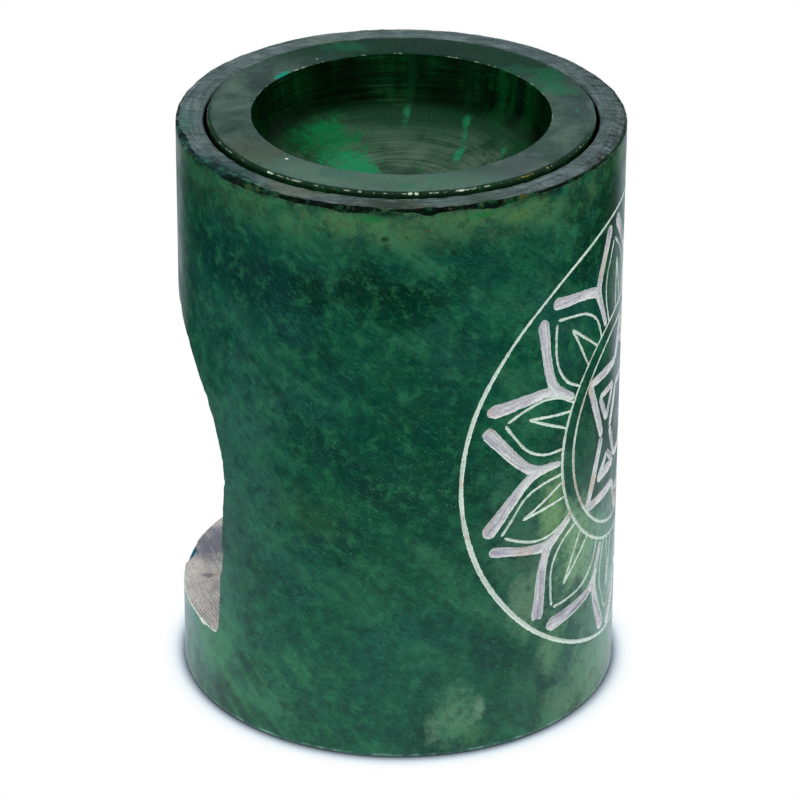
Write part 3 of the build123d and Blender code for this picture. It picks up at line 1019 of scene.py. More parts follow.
class GeometryGraph(Graph):
    """A geometry tree with named inputs, which makes what repeats or follows a line."""

    def __init__(self, name: str) -> None:
        """Starts a tree with its group nodes and a geometry output.

        Args:
            name: The tree's name.
        """
        tree = bpy.data.node_groups.new(name, "GeometryNodeTree")
        tree.interface.new_socket("Geometry", in_out="OUTPUT", socket_type="NodeSocketGeometry")
        super().__init__(tree)
        self.inside = self.node("NodeGroupInput")
        self.outside = self.node("NodeGroupOutput")

    def input(self, name: str, kind: str, default: object = None) -> Socket:
        """Adds a named input.

        Args:
            name: The input's name.
            kind: What it takes, such as Geometry or Object.
            default: The value that it starts with.

        Returns:
            The input's socket inside the tree.
        """
        made = self.tree.interface.new_socket(name, in_out="INPUT", socket_type="NodeSocket" + kind)
        if default is not None:
            made.default_value = default
        return self.inside.outputs[name]

    def number(self, name: str, default: float) -> Term:
        """Adds a named input for a number."""
        return Term(self, self.input(name, "Float", default))

    def make(
        self,
        kind: str,
        sockets: Optional[dict] = None,
        settings: Optional[dict] = None,
        output: Union[str, int] = 0,
    ) -> Socket:
        """Adds a geometry node and takes one of its outputs."""
        return self.node("GeometryNode" + kind, settings, sockets).outputs[output]

    def store(self, geometry: Link, name: str, value: Link, domain: str = "POINT") -> Socket:
        """Keeps a number on each point or curve under a name."""
        sockets = {"Geometry": geometry, "Name": name, "Value": value}
        return self.make("StoreNamedAttribute", sockets, {"data_type": "FLOAT", "domain": domain})

    def named(self, name: str) -> Term:
        """Reads a number that was kept under a name."""
        settings = {"data_type": "FLOAT"}
        return self.term("GeometryNodeInputNamedAttribute", "Attribute", settings, {"Name": name})

    def give(self, geometry: Socket, finish: Optional[Socket] = None) -> None:
        """Makes the result real, dresses it and gives it as the tree's output.

        Args:
            geometry: The result.
            finish: Its material, where it hasn't got it yet.
        """
        made = self.make("RealizeInstances", {"Geometry": geometry})
        if finish:
            made = self.make("SetMaterial", {"Geometry": made, "Material": finish})
        self.plug(self.outside.inputs[0], made)

    def run(self, piece: Piece, values: dict[str, object]) -> None:
        """Runs the tree on a piece, keeps its result as the piece's plain mesh and drops the modifier.

        Args:
            piece: The piece, a mesh.
            values: What the tree's named inputs are set to.
        """
        modifier = piece.modifiers.new(self.tree.name, "NODES")
        modifier.node_group = self.tree
        for item in self.tree.interface.items_tree:
            if item.name in values:
                modifier[item.identifier] = values[item.name]
        piece.update_tag()
        depsgraph = bpy.context.evaluated_depsgraph_get()
        evaluated = piece.evaluated_get(depsgraph)
        made = bpy.data.meshes.new_from_object(evaluated, preserve_all_data_layers=True, depsgraph=depsgraph)
        piece.modifiers.remove(modifier)
        made.name = piece.name
        piece.data = made


class Zone(Enum):
    """The turned and cut faces of the stone, each with its own finish."""

    WALL = 0
    RIM = 1
    CHAMBER = 2
    CUT = 3
    SAWN = 4


@dataclass(frozen=True)
class Corner:
    """A corner of a turned outline.

    Its side is the face that leaves it, up to the next corner, and pitch is how close the rings on
    that face lie.
    """

    out: float
    up: float
    rounding: float = 0.0
    side: int = 0
    pitch: float = 20 * MM


@dataclass(frozen=True)
class Knot:
    """One ring of a turned outline and the face that leaves it."""

    out: float
    up: float
    side: int


def turned_outline(corners: list[Corner], arc_pitch: float) -> list[Knot]:
    """Rounds the corners of an outline and fills its sides with rings.

    Args:
        corners: The outline from the axis, round the solid, and back to the axis.
        arc_pitch: How close the rings on a rounded corner lie.

    Returns:
        The rings in order.
    """
    knots: list[Knot] = []
    last = len(corners) - 1
    tangents = []
    for index, corner in enumerate(corners):
        here = Vector((corner.out, corner.up))
        if index in (0, last) or corner.rounding == 0:
            tangents.append(([here], corner.side))
            continue
        before = Vector((corners[index - 1].out, corners[index - 1].up)) - here
        after = Vector((corners[index + 1].out, corners[index + 1].up)) - here
        half = before.angle(after) / 2
        before.normalize()
        after.normalize()
        back = corner.rounding / math.tan(half)
        centre = here + (before + after).normalized() * corner.rounding / math.sin(half)
        start, end = here + before * back - centre, here + after * back - centre
        sweep = math.pi - 2 * half
        steps = max(2, math.ceil(sweep * corner.rounding / arc_pitch))
        arc = []
        for step in range(steps + 1):
            share = step / steps
            mixed = start * math.sin((1 - share) * sweep) + end * math.sin(share * sweep)
            arc.append(centre + mixed / math.sin(sweep))
        tangents.append((arc, corner.side))
    for index, (points, side) in enumerate(tangents):
        previous_side = tangents[index - 1][1] if index else side
        for place, point in enumerate(points):
            on_arc = len(points) > 1 and place < len(points) / 2
            knots.append(Knot(point.x, point.y, previous_side if on_arc else side))
        if index < last:
            end = points[-1]
            following = tangents[index + 1][0][0]
            count = max(1, math.ceil((following - end).length / corners[index].pitch))
            for step in range(1, count):
                point = end.lerp(following, step / count)
                knots.append(Knot(point.x, point.y, side))
    return knots


Wear = Callable[[float, float, float], tuple[float, float, float]]


def in_scene(name: str, data: bpy.types.ID) -> Piece:
    """Links data into the scene.

    Args:
        name: The name of the object that carries it.
        data: A mesh, a curve, a lamp or a camera.

    Returns:
        The object.
    """
    made = bpy.data.objects.new(name, data)
    bpy.context.scene.collection.objects.link(made)
    return made


def turn(name: str, knots: list[Knot], segments: int, wear: Optional[Wear] = None) -> Piece:
    """Turns an outline round the Z axis into a closed solid.

    Args:
        name: The piece's name.
        knots: The outline, with the solid on its left. It starts and ends on the axis, or it stays
            clear of the axis and is joined to its own start.
        segments: How many steps go round.
        wear: Moves a point, given its distance from the axis, its height and its angle from -Y, and
            says how many millimetres of stone it lost there.

    Returns:
        The piece, with each face's zone as its material index.
    """
    vertices: list[tuple[float, float, float]] = []
    losses: list[float] = []
    rows: list[list[int]] = []
    for knot in knots:
        if knot.out < 1e-9:
            rows.append([len(vertices)] * segments)
            vertices.append((0.0, 0.0, knot.up))
            losses.append(0.0)
            continue
        rows.append(list(range(len(vertices), len(vertices) + segments)))
        for step in range(segments):
            angle = math.tau * step / segments
            out, up, lost = wear(knot.out, knot.up, angle) if wear else (knot.out, knot.up, 0.0)
            vertices.append((out * math.sin(angle), -out * math.cos(angle), up))
            losses.append(lost)
    if knots[0].out > 0:
        rows.append(rows[0])
    faces: list[list[int]] = []
    sides: list[int] = []
    for knot, low, high in zip(knots, rows, rows[1:]):
        for step in range(segments):
            following = (step + 1) % segments
            faces.append(list(dict.fromkeys((low[step], low[following], high[following], high[step]))))
            sides.append(knot.side)
    mesh = bpy.data.meshes.new(name)
    mesh.from_pydata(vertices, [], faces)
    mesh.polygons.foreach_set("material_index", sides)
    mesh.polygons.foreach_set("use_smooth", [True] * len(faces))
    if wear:
        mesh.attributes.new("lost", "FLOAT", "POINT").data.foreach_set("value", losses)
    mesh.update()
    return in_scene(name, mesh)


def seat(piece: Piece, node: str, body: str, slot: str) -> None:
    """Puts a piece in the place of its solid.

    Args:
        piece: The piece.
        node: The solid that it replaces.
        body: The body that it moves with.
        slot: The name of its material; not used.
    """
    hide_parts(node)
    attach(piece, body)


def crisp_edges(mesh: bpy.types.Mesh, degrees: float) -> None:
    """Marks an edge as sharp where its faces meet at more than an angle or differ in finish.

    Args:
        mesh: The mesh.
        degrees: The angle.
    """
    work = bmesh.new()
    work.from_mesh(mesh)
    for edge in work.edges:
        if len(edge.link_faces) == 2:
            first, second = edge.link_faces
            flat = edge.calc_face_angle(0.0) < math.radians(degrees)
            edge.smooth = flat and first.material_index == second.material_index
    work.to_mesh(mesh)
    work.free()


def round_normals(mesh: bpy.types.Mesh, radii: list[float], slack: float) -> None:
    """Gives every face that lies on one of the turned cylinders the cylinder's own normals.

    Args:
        mesh: The mesh.
        radii: The cylinders' radii.
        slack: How far from a cylinder a face's corners may lie.
    """
    normals = [(0.0, 0.0, 0.0)] * len(mesh.loops)
    for face in mesh.polygons:
        if abs(face.normal.z) > 0.05:
            continue
        outs = [mesh.vertices[index].co.to_2d().length for index in face.vertices]
        if any(all(abs(out - radius) < slack for out in outs) for radius in radii):
            middle = Vector((face.center.x, face.center.y, 0.0))
            sign = 1.0 if face.normal.dot(middle) > 0 else -1.0
            for loop in face.loop_indices:
                spot = mesh.vertices[mesh.loops[loop].vertex_index].co
                normals[loop] = tuple(Vector((spot.x, spot.y, 0.0)).normalized() * sign)
    mesh.normals_split_custom_set(normals)


def fray(angle: float, up: float, size: float, seed: float) -> float:
    """Noise from -1 to 1 round a turned edge, without a seam.

    Args:
        angle: The angle round the axis.
        up: The height.
        size: The size of a lump, for a radius of 33 mm.
        seed: Picks another pattern.

    Returns:
        The noise's level.
    """
    reach = 33 * MM / size
    return noise.noise(Vector((math.cos(angle) * reach + seed, math.sin(angle) * reach, up / size)))


@dataclass
class Stroke:
    """One pass of the engraver's burr over the unrolled wall, or the line that a wick follows."""

    path: list[Vector]
    half_widths: list[float]
    closed: bool = False


@dataclass
class Lotus:
    """The traditional twelve-petal lotus with a six-pointed star, laid out on the unrolled wall."""

    centre_height: float = 46.9 * MM
    outer_ring: float = 39.0 * MM
    outer_rise: float = 0.3 * MM
    outer_squash: float = 0.96
    outer_uneven: float = 0.35
    double_ring: tuple[float, float] = (20.4 * MM, 17.7 * MM)
    double_uneven: float = 0.12
    ring_line: float = 0.28 * MM
    fork_angles: tuple[float, ...] = (0, 28, 57, 85, 114, 149, 179, 210, 247, 275, 303, 331)
    leaf_turns: tuple[float, ...] = (0, 0, 0, 0, 0, -2, 1.8, 0, 0, 0, 0, 0)
    fork_radii: tuple[float, ...] = (26.6, 27, 27.4, 27, 28.4, 25.8, 25.7, 26.4, 27.4, 27, 26.4, 27)
    stem_foot: float = 20.8 * MM
    stem_half_width: float = 0.7 * MM
    arm_end: float = 36.6 * MM
    arm_gap: float = 2.3
    arm_shares: tuple[tuple[float, float], ...] = (
        (0.02, 0.03), (0.22, 0.2), (0.48, 0.5), (0.74, 0.78), (1, 1),
    )
    arm_neck: float = 0.86 * MM
    arm_middles: tuple[float, float] = (1.04 * MM, 1.16 * MM)
    arm_half_width: float = 1.36 * MM
    bolder_below: float = 0.12
    slim_arm: tuple[int, int] = (7, 1)
    slimmer: float = 0.76
    fine_line: float = 0.22 * MM
    leaf_foot: float = 20.3 * MM
    leaf_tip: float = 33.3 * MM
    vein_tip: float = 29.3 * MM
    usual_gap: float = 30.5
    star_line: float = 0.84 * MM
    star_arm: float = 13.6 * MM
    star_shoulder: float = 10.9 * MM
    star_tip: float = 17.2 * MM
    star_notch: float = 9.0 * MM
    star_waist: float = 3.1 * MM
    wobble: float = 0.09 * MM
    seed: int = 7

    def __post_init__(self) -> None:
        """Starts the engraver's hand, the same each run."""
        self.hand = random.Random(self.seed)

    def at(self, radius: float, degrees: float) -> Vector:
        """A point by its distance from the lotus' centre and its angle from the right."""
        turned = math.radians(degrees)
        return Vector((radius * math.cos(turned), radius * math.sin(turned)))

    def drawn(self, points: list[Vector], widths: list[float], steps: int = 10) -> Stroke:
        """Runs a smooth, slightly unsteady line through a few points.

        Args:
            points: The points, from the lotus' centre.
            widths: The half width of the line at each point.
            steps: How many steps lie between two points.

        Returns:
            The stroke.
        """
        path: list[Vector] = []
        half_widths: list[float] = []
        padded = [points[0] * 2 - points[1], *points, points[-1] * 2 - points[-2]]
        phase = self.hand.uniform(0, 100)
        for index in range(1, len(padded) - 2):
            before, start, end, after = padded[index - 1:index + 3]
            for step in range(steps + (index == len(padded) - 3)):
                t = step / steps
                spot = 0.5 * (
                    2 * start
                    + (end - before) * t
                    + (2 * before - 5 * start + 4 * end - after) * t * t
                    + (3 * start - before - 3 * end + after) * t * t * t
                )
                shake = Vector((phase, spot.x / (3 * MM), spot.y / (3 * MM)))
                drift = noise.noise_vector(shake).to_2d() * self.wobble
                path.append(spot + drift + Vector((0, self.centre_height)))
                half_widths.append(widths[index - 1] + (widths[index] - widths[index - 1]) * t)
        return Stroke(path, half_widths)

    def ring(self, radius: float, uneven: float, squash: float = 1.0, rise: float = 0.0) -> Stroke:
        """A closed circle, scribed by hand.

        Args:
            radius: Its radius.
            uneven: How much the width varies round the circle, as a share.
            squash: Its height over its width.
            rise: How far its centre lies above the lotus' own.

        Returns:
            The stroke.
        """
        path, half_widths = [], []
        steps = 240
        phase = self.hand.uniform(0, 100)
        for step in range(steps):
            spot = self.at(radius, 360 * step / steps)
            drift = noise.noise(Vector((phase, spot.x / (9 * MM), spot.y / (9 * MM))))
            drawn = spot * (1 + drift * self.wobble / radius)
            path.append(Vector((drawn.x, drawn.y * squash + self.centre_height + rise)))
            swell = noise.noise(Vector((spot.x / (14 * MM), phase, spot.y / (14 * MM))))
            on_left = ease(spot.x + 0.35 * spot.y, -0.45 * radius, -1.0 * radius)
            half_widths.append(self.ring_line * (0.75 + uneven * swell + 2.2 * uneven * on_left))
        return Stroke(path, half_widths, closed=True)

    def fork(self, index: int, before: float, after: float) -> list[Stroke]:
        """A bold stem and the two arms that lean over the petals beside it.

        Args:
            index: Which fork it is.
            before: The angle of the fork before it.
            after: The angle of the fork after it.

        Returns:
            The two strokes, of which the first carries the stem.
        """
        here = self.fork_angles[index]
        crotch = self.fork_radii[index] * MM
        foot = self.at(self.stem_foot, here + self.hand.uniform(-0.8, 0.8))
        root = self.at(crotch - 2.6 * MM, here)
        strokes = []
        for other, side, leaf in ((before, 1, index - 1), (after, -1, index)):
            end = (here + other) / 2 + side * self.arm_gap + self.leaf_turns[leaf]
            reach = self.arm_end + self.hand.uniform(-0.5, 0.5) * MM - crotch
            points = [root] + [
                self.at(crotch + reach * along, here + (end - here) * aside)
                for along, aside in self.arm_shares
            ]
            swell = self.hand.uniform(0.94, 1.08) * (self.slimmer if (index, side) == self.slim_arm else 1)
            swell *= 0.96 - self.bolder_below * math.sin(math.radians(end))
            widths = [self.stem_half_width, self.arm_neck * 1.1, self.arm_neck * 1.04]
            widths += [width * swell for width in (*self.arm_middles, self.arm_half_width)]
            if side == 1:
                points = [foot] + points
                widths = [self.stem_half_width * 0.8] + widths
            strokes.append(self.drawn(points, widths, 8))
        return strokes

    def leaf(self, middle: float, gap: float) -> list[Stroke]:
        """A petal's two fine sides, which meet at its tip, and the V of its vein.

        Args:
            middle: The petal's angle.
            gap: The angle between the forks beside it.

        Returns:
            The four strokes.
        """
        scale = gap / self.usual_gap
        line = self.fine_line
        strokes = []
        for side in (-1, 1):
            lean = self.hand.uniform(-0.4, 0.4)
            points = [
                self.at(self.leaf_foot, middle + side * (10.9 + lean) * scale),
                self.at(24.3 * MM, middle + side * 11.2 * scale),
                self.at(28.0 * MM, middle + side * (8.7 + lean) * scale),
                self.at(31.0 * MM, middle + side * 4.0 * scale),
                self.at(self.leaf_tip + self.hand.uniform(-0.3, 0.3) * MM, middle + side * 0.4),
            ]
            strokes.append(self.drawn(points, [line] * 4 + [line * 1.2]))
        tip = self.at(self.vein_tip, middle - 1.0 + self.hand.uniform(-1, 1))
        for foot in (-6.6, 1.3):
            base = self.at(self.leaf_foot, middle + (foot + self.hand.uniform(-1, 1)) * scale)
            strokes.append(self.drawn([base, tip], [line * 0.9, line * 1.15]))
        return strokes

    def star(self) -> list[Stroke]:
        """The bold outline of the star, the carved triangles in its points and its inner hexagon.

        Returns:
            The star's strokes.
        """
        arm, shoulder, tip = self.star_arm, self.star_shoulder, self.star_tip
        notch, waist, line = self.star_notch, self.star_waist, self.star_line
        upper = [(-arm, shoulder), (-waist, shoulder), (0, tip), (waist, shoulder), (arm, shoulder)]
        half = upper + [(notch, 0)]
        strokes = self.loop(half + [(-x, -y) for x, y in half], line)
        inner = line * 0.72
        for mirror in (-1, 1):
            for corners in (
                ((10.0, 7.3), (4.2, 7.3), (7.2, 2.2)),
                ((10.2, -7.4), (6.5, -3.9), (3.0, -7.4)),
            ):
                strokes += self.loop([(mirror * x * MM, y * MM) for x, y in corners], inner)
            for ends in (
                ((mirror * 8.4, -6.7), (mirror * 4.8, -6.7)),
                ((0, mirror * 14.0), (0, mirror * 12.2)),
            ):
                start, end = ((x * MM, y * MM) for x, y in ends)
                strokes.append(self.straight(start, end, inner))
        hexagon = [(-5.4, 0), (-2.4, 6.4), (2.4, 6.4), (5.4, 0), (2.4, -6.4), (-2.4, -6.4)]
        return strokes + self.loop([(x * MM, y * MM) for x, y in hexagon], line * 0.85)

    def loop(self, corners: list[tuple[float, float]], half_width: float) -> list[Stroke]:
        """Straight strokes from each corner to the next, and back to the first."""
        return [self.straight(a, b, half_width) for a, b in zip(corners, corners[1:] + corners[:1])]

    def straight(self, start: tuple[float, float], end: tuple[float, float], half_width: float) -> Stroke:
        """A bold straight stroke, a little thicker in its middle."""
        points = [Vector(start), Vector(start).lerp(Vector(end), 0.5), Vector(end)]
        return self.drawn(points, [half_width * 0.92, half_width * 1.06, half_width * 0.92])

    def strokes(self) -> list[Stroke]:
        """The whole pattern.

        Returns:
            Every stroke, in the order that the engraver cuts them.
        """
        made = [self.ring(self.outer_ring, self.outer_uneven, self.outer_squash, self.outer_rise)]
        made += [self.ring(radius, self.double_uneven) for radius in self.double_ring]
        angles = [self.fork_angles[-1] - 360, *self.fork_angles, self.fork_angles[0] + 360]
        for index, (before, here, after) in enumerate(zip(angles, angles[1:], angles[2:])):
            made += self.fork(index, before, after)
            made += self.leaf((here + after) / 2 + self.leaf_turns[index], after - here)
        return made + self.star()


def strokes_curve(name: str, strokes: list[Stroke]) -> Piece:
    """Puts strokes into one curve object, each point's radius being the stroke's half width there.

    Args:
        name: The curve's name.
        strokes: The strokes.

    Returns:
        The curve object.
    """
    curve = bpy.data.curves.new(name, "CURVE")
    curve.dimensions = "3D"
    for stroke in strokes:
        spline = curve.splines.new("POLY")
        spline.points.add(len(stroke.path) - 1)
        for point, spot, half_width in zip(spline.points, stroke.path, stroke.half_widths):
            point.co = (*spot.to_3d(), 1.0)
            point.radius = half_width
        spline.use_cyclic_u = stroke.closed
    return in_scene(name, curve)


def carve_graph() -> GeometryGraph:
    """The tree that cuts the arch and the strokes out of the turned stone.

    Its inputs are the stone, the strokes on the unrolled wall, the arch's solid, the wall's radius,
    how deep a stroke is, how ragged it is, and the finish of the cut.

    Returns:
        The tree.
    """
    graph = GeometryGraph("carve")
    stone = graph.input("Stone", "Geometry")
    strokes = graph.input("Strokes", "Object")
    arch = graph.input("Arch", "Object")
    radius = graph.number("Wall Radius", 35 * MM)
    step = graph.number("Step", 0.4 * MM)
    depth = graph.number("Least Depth", 0.1 * MM)
    deeper = graph.number("Depth Share", 0.3)
    ragged = graph.number("Ragged", 0.05 * MM)
    jitter = graph.number("Jitter", 0.05 * MM)
    bare = graph.input("Cut Finish", "Material")

    flat = graph.make("ObjectInfo", {"Object": strokes}, output="Geometry")
    width = Term(graph, graph.make("InputRadius"))
    closer = step * (1.15 - width * (0.5 / MM))
    kept = graph.make("ResampleCurve", {"Curve": flat, "Length": closer}, {"mode": "LENGTH"})
    along = Term(graph, graph.make("SplineParameter", output="Length"))
    whole = Term(graph, graph.make("SplineLength", output="Length"))
    position = graph.make("InputPosition")
    half = width + ragged * (graph.noise(position, 0.55 * MM, 2, 0.6, 3.0) - 0.5) * 4
    deep = depth + half * deeper
    burr = (half * half + deep * deep) / (deep * 2)

    # The ends of an open stroke are rounded in plan
    to_end = along.apply("MINIMUM", whole - along)
    short = 1 - (to_end / (half * 1.15)).apply("MINIMUM", 1)
    rounded = (1 - short * short).apply("MAXIMUM", 0.003).apply("SQRT")
    cyclic = graph.make("InputSplineCyclic")
    ending = graph.make("Switch", {"Switch": cyclic, "False": rounded, "True": 1.0}, {"input_type": "FLOAT"})
    footprint = half * Term(graph, ending)
    lift = burr - deep
    thinned = (lift * lift + footprint * footprint).apply("SQRT")
    bold = graph.smooth(width, 0.4 * MM, 0.6 * MM)
    for name, value in (("along", along), ("bold", bold), ("burr", thinned), ("lift", lift)):
        kept = graph.store(kept, name, value)

    # The flat strokes are wrapped round the wall, with their centres lifted off it
    away = radius + graph.named("lift")
    across, up, _ = graph.separate(position)
    sideways = graph.noise(position, 0.7 * MM, 2, 0.6, 8.0) - 0.5
    upwards = graph.noise(position, 0.7 * MM, 2, 0.6, 21.0) - 0.5
    angle = (across + sideways * jitter * 2) / radius
    x, y = away * angle.apply("SINE"), away * angle.apply("COSINE") * -1
    wrapped = graph.combine(x, y, up + upwards * jitter * 2)
    bent = graph.make("SetPosition", {"Geometry": kept, "Position": wrapped})
    circle = graph.make("CurvePrimitiveCircle", {"Resolution": 16, "Radius": 1.0}, output="Curve")
    profile = graph.store(circle, "round", graph.make("SplineParameter", output="Factor"))
    sockets = {"Curve": bent, "Profile Curve": profile, "Scale": graph.named("burr"), "Fill Caps": True}
    cut = graph.make("SetMaterial", {"Geometry": graph.make("CurveToMesh", sockets), "Material": bare})
    island = graph.make("InputMeshIsland", output="Island Index")
    sockets = {"Geometry": cut, "Group ID": island}
    burrs = graph.make("SplitToInstances", sockets, {"domain": "FACE"}, "Instances")
    arch_solid = graph.make("ObjectInfo", {"Object": arch, "As Instance": True}, output="Geometry")
    cutters = graph.node("GeometryNodeJoinGeometry")
    graph.plug(cutters.inputs[0], arch_solid)
    graph.plug(cutters.inputs[0], burrs)
    settings = {"operation": "DIFFERENCE", "solver": "MANIFOLD"}
    sockets = {"Mesh 1": stone, "Mesh 2": cutters.outputs[0]}
    graph.give(graph.make("MeshBoolean", sockets, settings, "Mesh"))
    return graph


@dataclass
class BurnerBody:
    """The stone body: turned, dyed, sawn through for the arch and engraved."""

    rim_wall: float = 4.3 * MM
    seat_ledge: float = 3.7 * MM
    base_thickness: float = 13.5 * MM
    seat_depth: float = 8.0 * MM
    top_edge_round: float = 0.3 * MM
    base_edge_round: float = 0.35 * MM
    seat_edge_round: float = 0.3 * MM
    chamber_corner_round: float = 1.5 * MM
    arch_inset: float = 0.6 * MM
    arch_lintel: float = 18.8 * MM
    jamb_taper: float = 1.5 * MM
    sill_corner_round: float = 2.0 * MM
    overrun: float = 3.0 * MM
    segments: int = 768
    edge_zone: float = 2.0 * MM
    edge_pitch: float = 0.19 * MM
    crisp_edge: float = 0.3 * MM
    broken_edge: float = 0.85 * MM
    worn_reach: float = 2.6 * MM
    dulled_reach: float = 0.7 * MM
    saw_steps: int = 24
    stroke_step: float = 0.4 * MM
    least_depth: float = 0.13 * MM
    depth_share: float = 0.33
    ragged: float = 0.09 * MM
    jitter: float = 0.05 * MM
    crisp_angle: float = 32
    round_slack: float = 0.012 * MM

    def __post_init__(self) -> None:
        """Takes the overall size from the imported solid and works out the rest."""
        low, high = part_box("burner_body")
        self.radius = (high[0] - low[0]) / 2
        self.height = high[2]
        self.seat_radius = self.radius - self.rim_wall
        self.chamber_radius = self.seat_radius - self.seat_ledge
        self.seat_level = self.height - self.seat_depth
        self.arch_half = self.chamber_radius - self.arch_inset
        self.sill_half = self.arch_half - self.jamb_taper
        self.crown = self.seat_level - self.arch_lintel
        self.spring = self.crown - self.arch_half

    def outline(self) -> list[Knot]:
        """The turned section, from the middle of the base to the middle of the chamber's floor.

        Returns:
            Its rings.
        """
        wall, rim, chamber = Zone.WALL.value, Zone.RIM.value, Zone.CHAMBER.value
        corners = [
            Corner(0, 0, side=wall),
            Corner(self.radius, 0, self.base_edge_round, wall, 60 * MM),
            Corner(self.radius, self.height - self.edge_zone, 0, wall, self.edge_pitch),
            Corner(self.radius, self.height, self.top_edge_round, rim, self.edge_pitch),
            Corner(self.radius - self.edge_zone, self.height, 0, rim, 0.8 * MM),
            Corner(self.seat_radius, self.height, self.seat_edge_round, rim, 2.5 * MM),
            Corner(self.seat_radius, self.seat_level, 0, rim, 2 * MM),
            Corner(self.chamber_radius, self.seat_level, 0, chamber, 80 * MM),
            Corner(self.chamber_radius, self.base_thickness, self.chamber_corner_round, chamber, 9 * MM),
            Corner(0, self.base_thickness, side=chamber),
        ]
        return turned_outline(corners, self.edge_pitch)

    def worn(self, out: float, up: float, angle: float) -> tuple[float, float, float]:
        """Breaks the rim's outer edge, most on the side by the camera, and dulls its inner edge.

        Args:
            out: A point's distance from the axis.
            up: Its height.
            angle: Its angle from -Y.

        Returns:
            The worn point's distance and height, and the stone lost there in millimetres.
        """
        if math.hypot(self.radius - out, self.height - up) < self.worn_reach:
            swell = fray(angle, 0, 6 * MM, 3.0)
            lumps = fray(angle, up, 1.7 * MM, 11.0)
            grit = fray(angle, up, 0.55 * MM, 23.0)
            handled = ease(math.cos(angle + math.radians(105)), -0.1, 0.75)
            width = self.crisp_edge + (self.broken_edge - self.crisp_edge) * handled
            width *= max(0.25, 1 + 0.55 * swell + 0.4 * lumps + 0.16 * grit)
            drop = width * (0.75 + 0.35 * fray(angle, 0, 4 * MM, 77.0))
            beyond = (out - self.radius) / width + (up - self.height) / drop + 1
            if beyond <= 0:
                return out, up, 0.0
            sunk = (0.03 + 0.05 * lumps * handled) * MM
            lost = (beyond * math.hypot(width, drop) / 2 + 0.06 * MM) / MM
            return out - (beyond * width / 2 + sunk * 0.6), up - (beyond * drop / 2 + sunk * 0.7), lost
        near = max(0.0, 1 - math.hypot(out - self.seat_radius, self.height - up) / self.dulled_reach)
        lost = max(0.0, 0.3 + 0.8 * fray(angle, up, 1.5 * MM, 57.0)) * 0.16 * MM * near
        return out + lost * 0.5, up - lost, 0.0

    def arch_outline(self, pitch: float) -> list[Vector]:
        """The arch as seen from +Y: up the right jamb, over the crown and down the left jamb.

        Args:
            pitch: How close its points lie.

        Returns:
            The outline's points, a closed loop.
        """
        corner = Vector((self.sill_half, self.base_thickness))
        spring = Vector((self.arch_half, self.spring))
        jamb = (spring - corner).normalized()
        back = self.sill_corner_round / math.tan(jamb.angle(Vector((-1, 0))) / 2)
        start = corner + Vector((-back, 0))
        end = corner + jamb * back
        right: list[Vector] = []
        for step in range(8):
            share = step / 8
            right.append(start * (1 - share) ** 2 + corner * 2 * share * (1 - share) + end * share ** 2)
        rises = math.ceil((spring - end).length / pitch)
        right += [end.lerp(spring, step / rises) for step in range(rises)]
        turns = math.ceil(math.pi * self.arch_half / 2 / pitch)
        for step in range(turns):
            turned = math.pi / 2 * step / turns
            right.append(spring + Vector((math.cos(turned) - 1, math.sin(turned))) * self.arch_half)
        left = [Vector((-point.x, point.y)) for point in reversed(right)]
        return right + [Vector((0, self.crown))] + left

    def arch_solid(self, bare: Material) -> Piece:
        """The solid that the saw takes out for the arch, with slightly uneven faces.

        Args:
            bare: The finish of the sawn faces.

        Returns:
            A helper object, removed after the cut.
        """
        loop = self.arch_outline(1.2 * MM)
        reach = self.radius + self.overrun
        count = len(loop)
        vertices, faces = [], []
        for row in range(self.saw_steps + 1):
            for point in loop:
                spot = Vector((point.x, reach * row / self.saw_steps, point.y))
                shake = noise.noise_vector(spot / (6 * MM)) * 0.09 * MM
                vertices.append(spot + Vector((shake.x, 0, shake.z)))
        for row in range(self.saw_steps):
            for step in range(count):
                first, second = row * count + step, row * count + (step + 1) % count
                faces.append([first, first + count, second + count, second])
        faces.append(list(range(count)))
        faces.append([self.saw_steps * count + step for step in reversed(range(count))])
        mesh = bpy.data.meshes.new("arch_solid")
        mesh.from_pydata(vertices, [], faces)
        work = bmesh.new()
        work.from_mesh(mesh)
        bmesh.ops.recalc_face_normals(work, faces=work.faces)
        for face in work.faces:
            face.smooth = True
        work.to_mesh(mesh)
        work.free()
        mesh.materials.append(bare)
        return in_scene("arch_solid", mesh)

    def arch_wear(self) -> list[Stroke]:
        """The rubbed outer edge of the arch, a chip in its sill, and a nick at a corner and a jamb.

        Returns:
            The strokes that wear them away.
        """
        path, widths = [], []
        for point in self.arch_outline(0.7 * MM):
            turned = math.pi - math.asin(point.x / self.radius)
            path.append(Vector((turned * self.radius, point.y)))
            chipped = ease(noise.noise(Vector((point.x, point.y, 0.02)) / (2.3 * MM)), 0.1, 0.55)
            widths.append((0.05 + 0.6 * chipped) * MM)
        sill, radius = self.base_thickness, self.radius
        strokes = [Stroke(path, widths, closed=True)]
        for places, half_widths in (
            ([(math.pi * radius - x * MM, sill) for x in (-3.0, -1.0, 1.5, 4.5)], (0.9, 0.8, 0.7, 0.4)),
            ([((math.pi + turned) * radius, sill) for turned in (0.6, 0.64, 0.68)], (0.3, 0.55, 0.35)),
            ([((math.pi + 0.68) * radius, up * MM) for up in (54.6, 55.6, 56.6)], (0.3, 0.6, 0.4)),
        ):
            strokes.append(Stroke([Vector(place) for place in places], [width * MM for width in half_widths]))
        return strokes

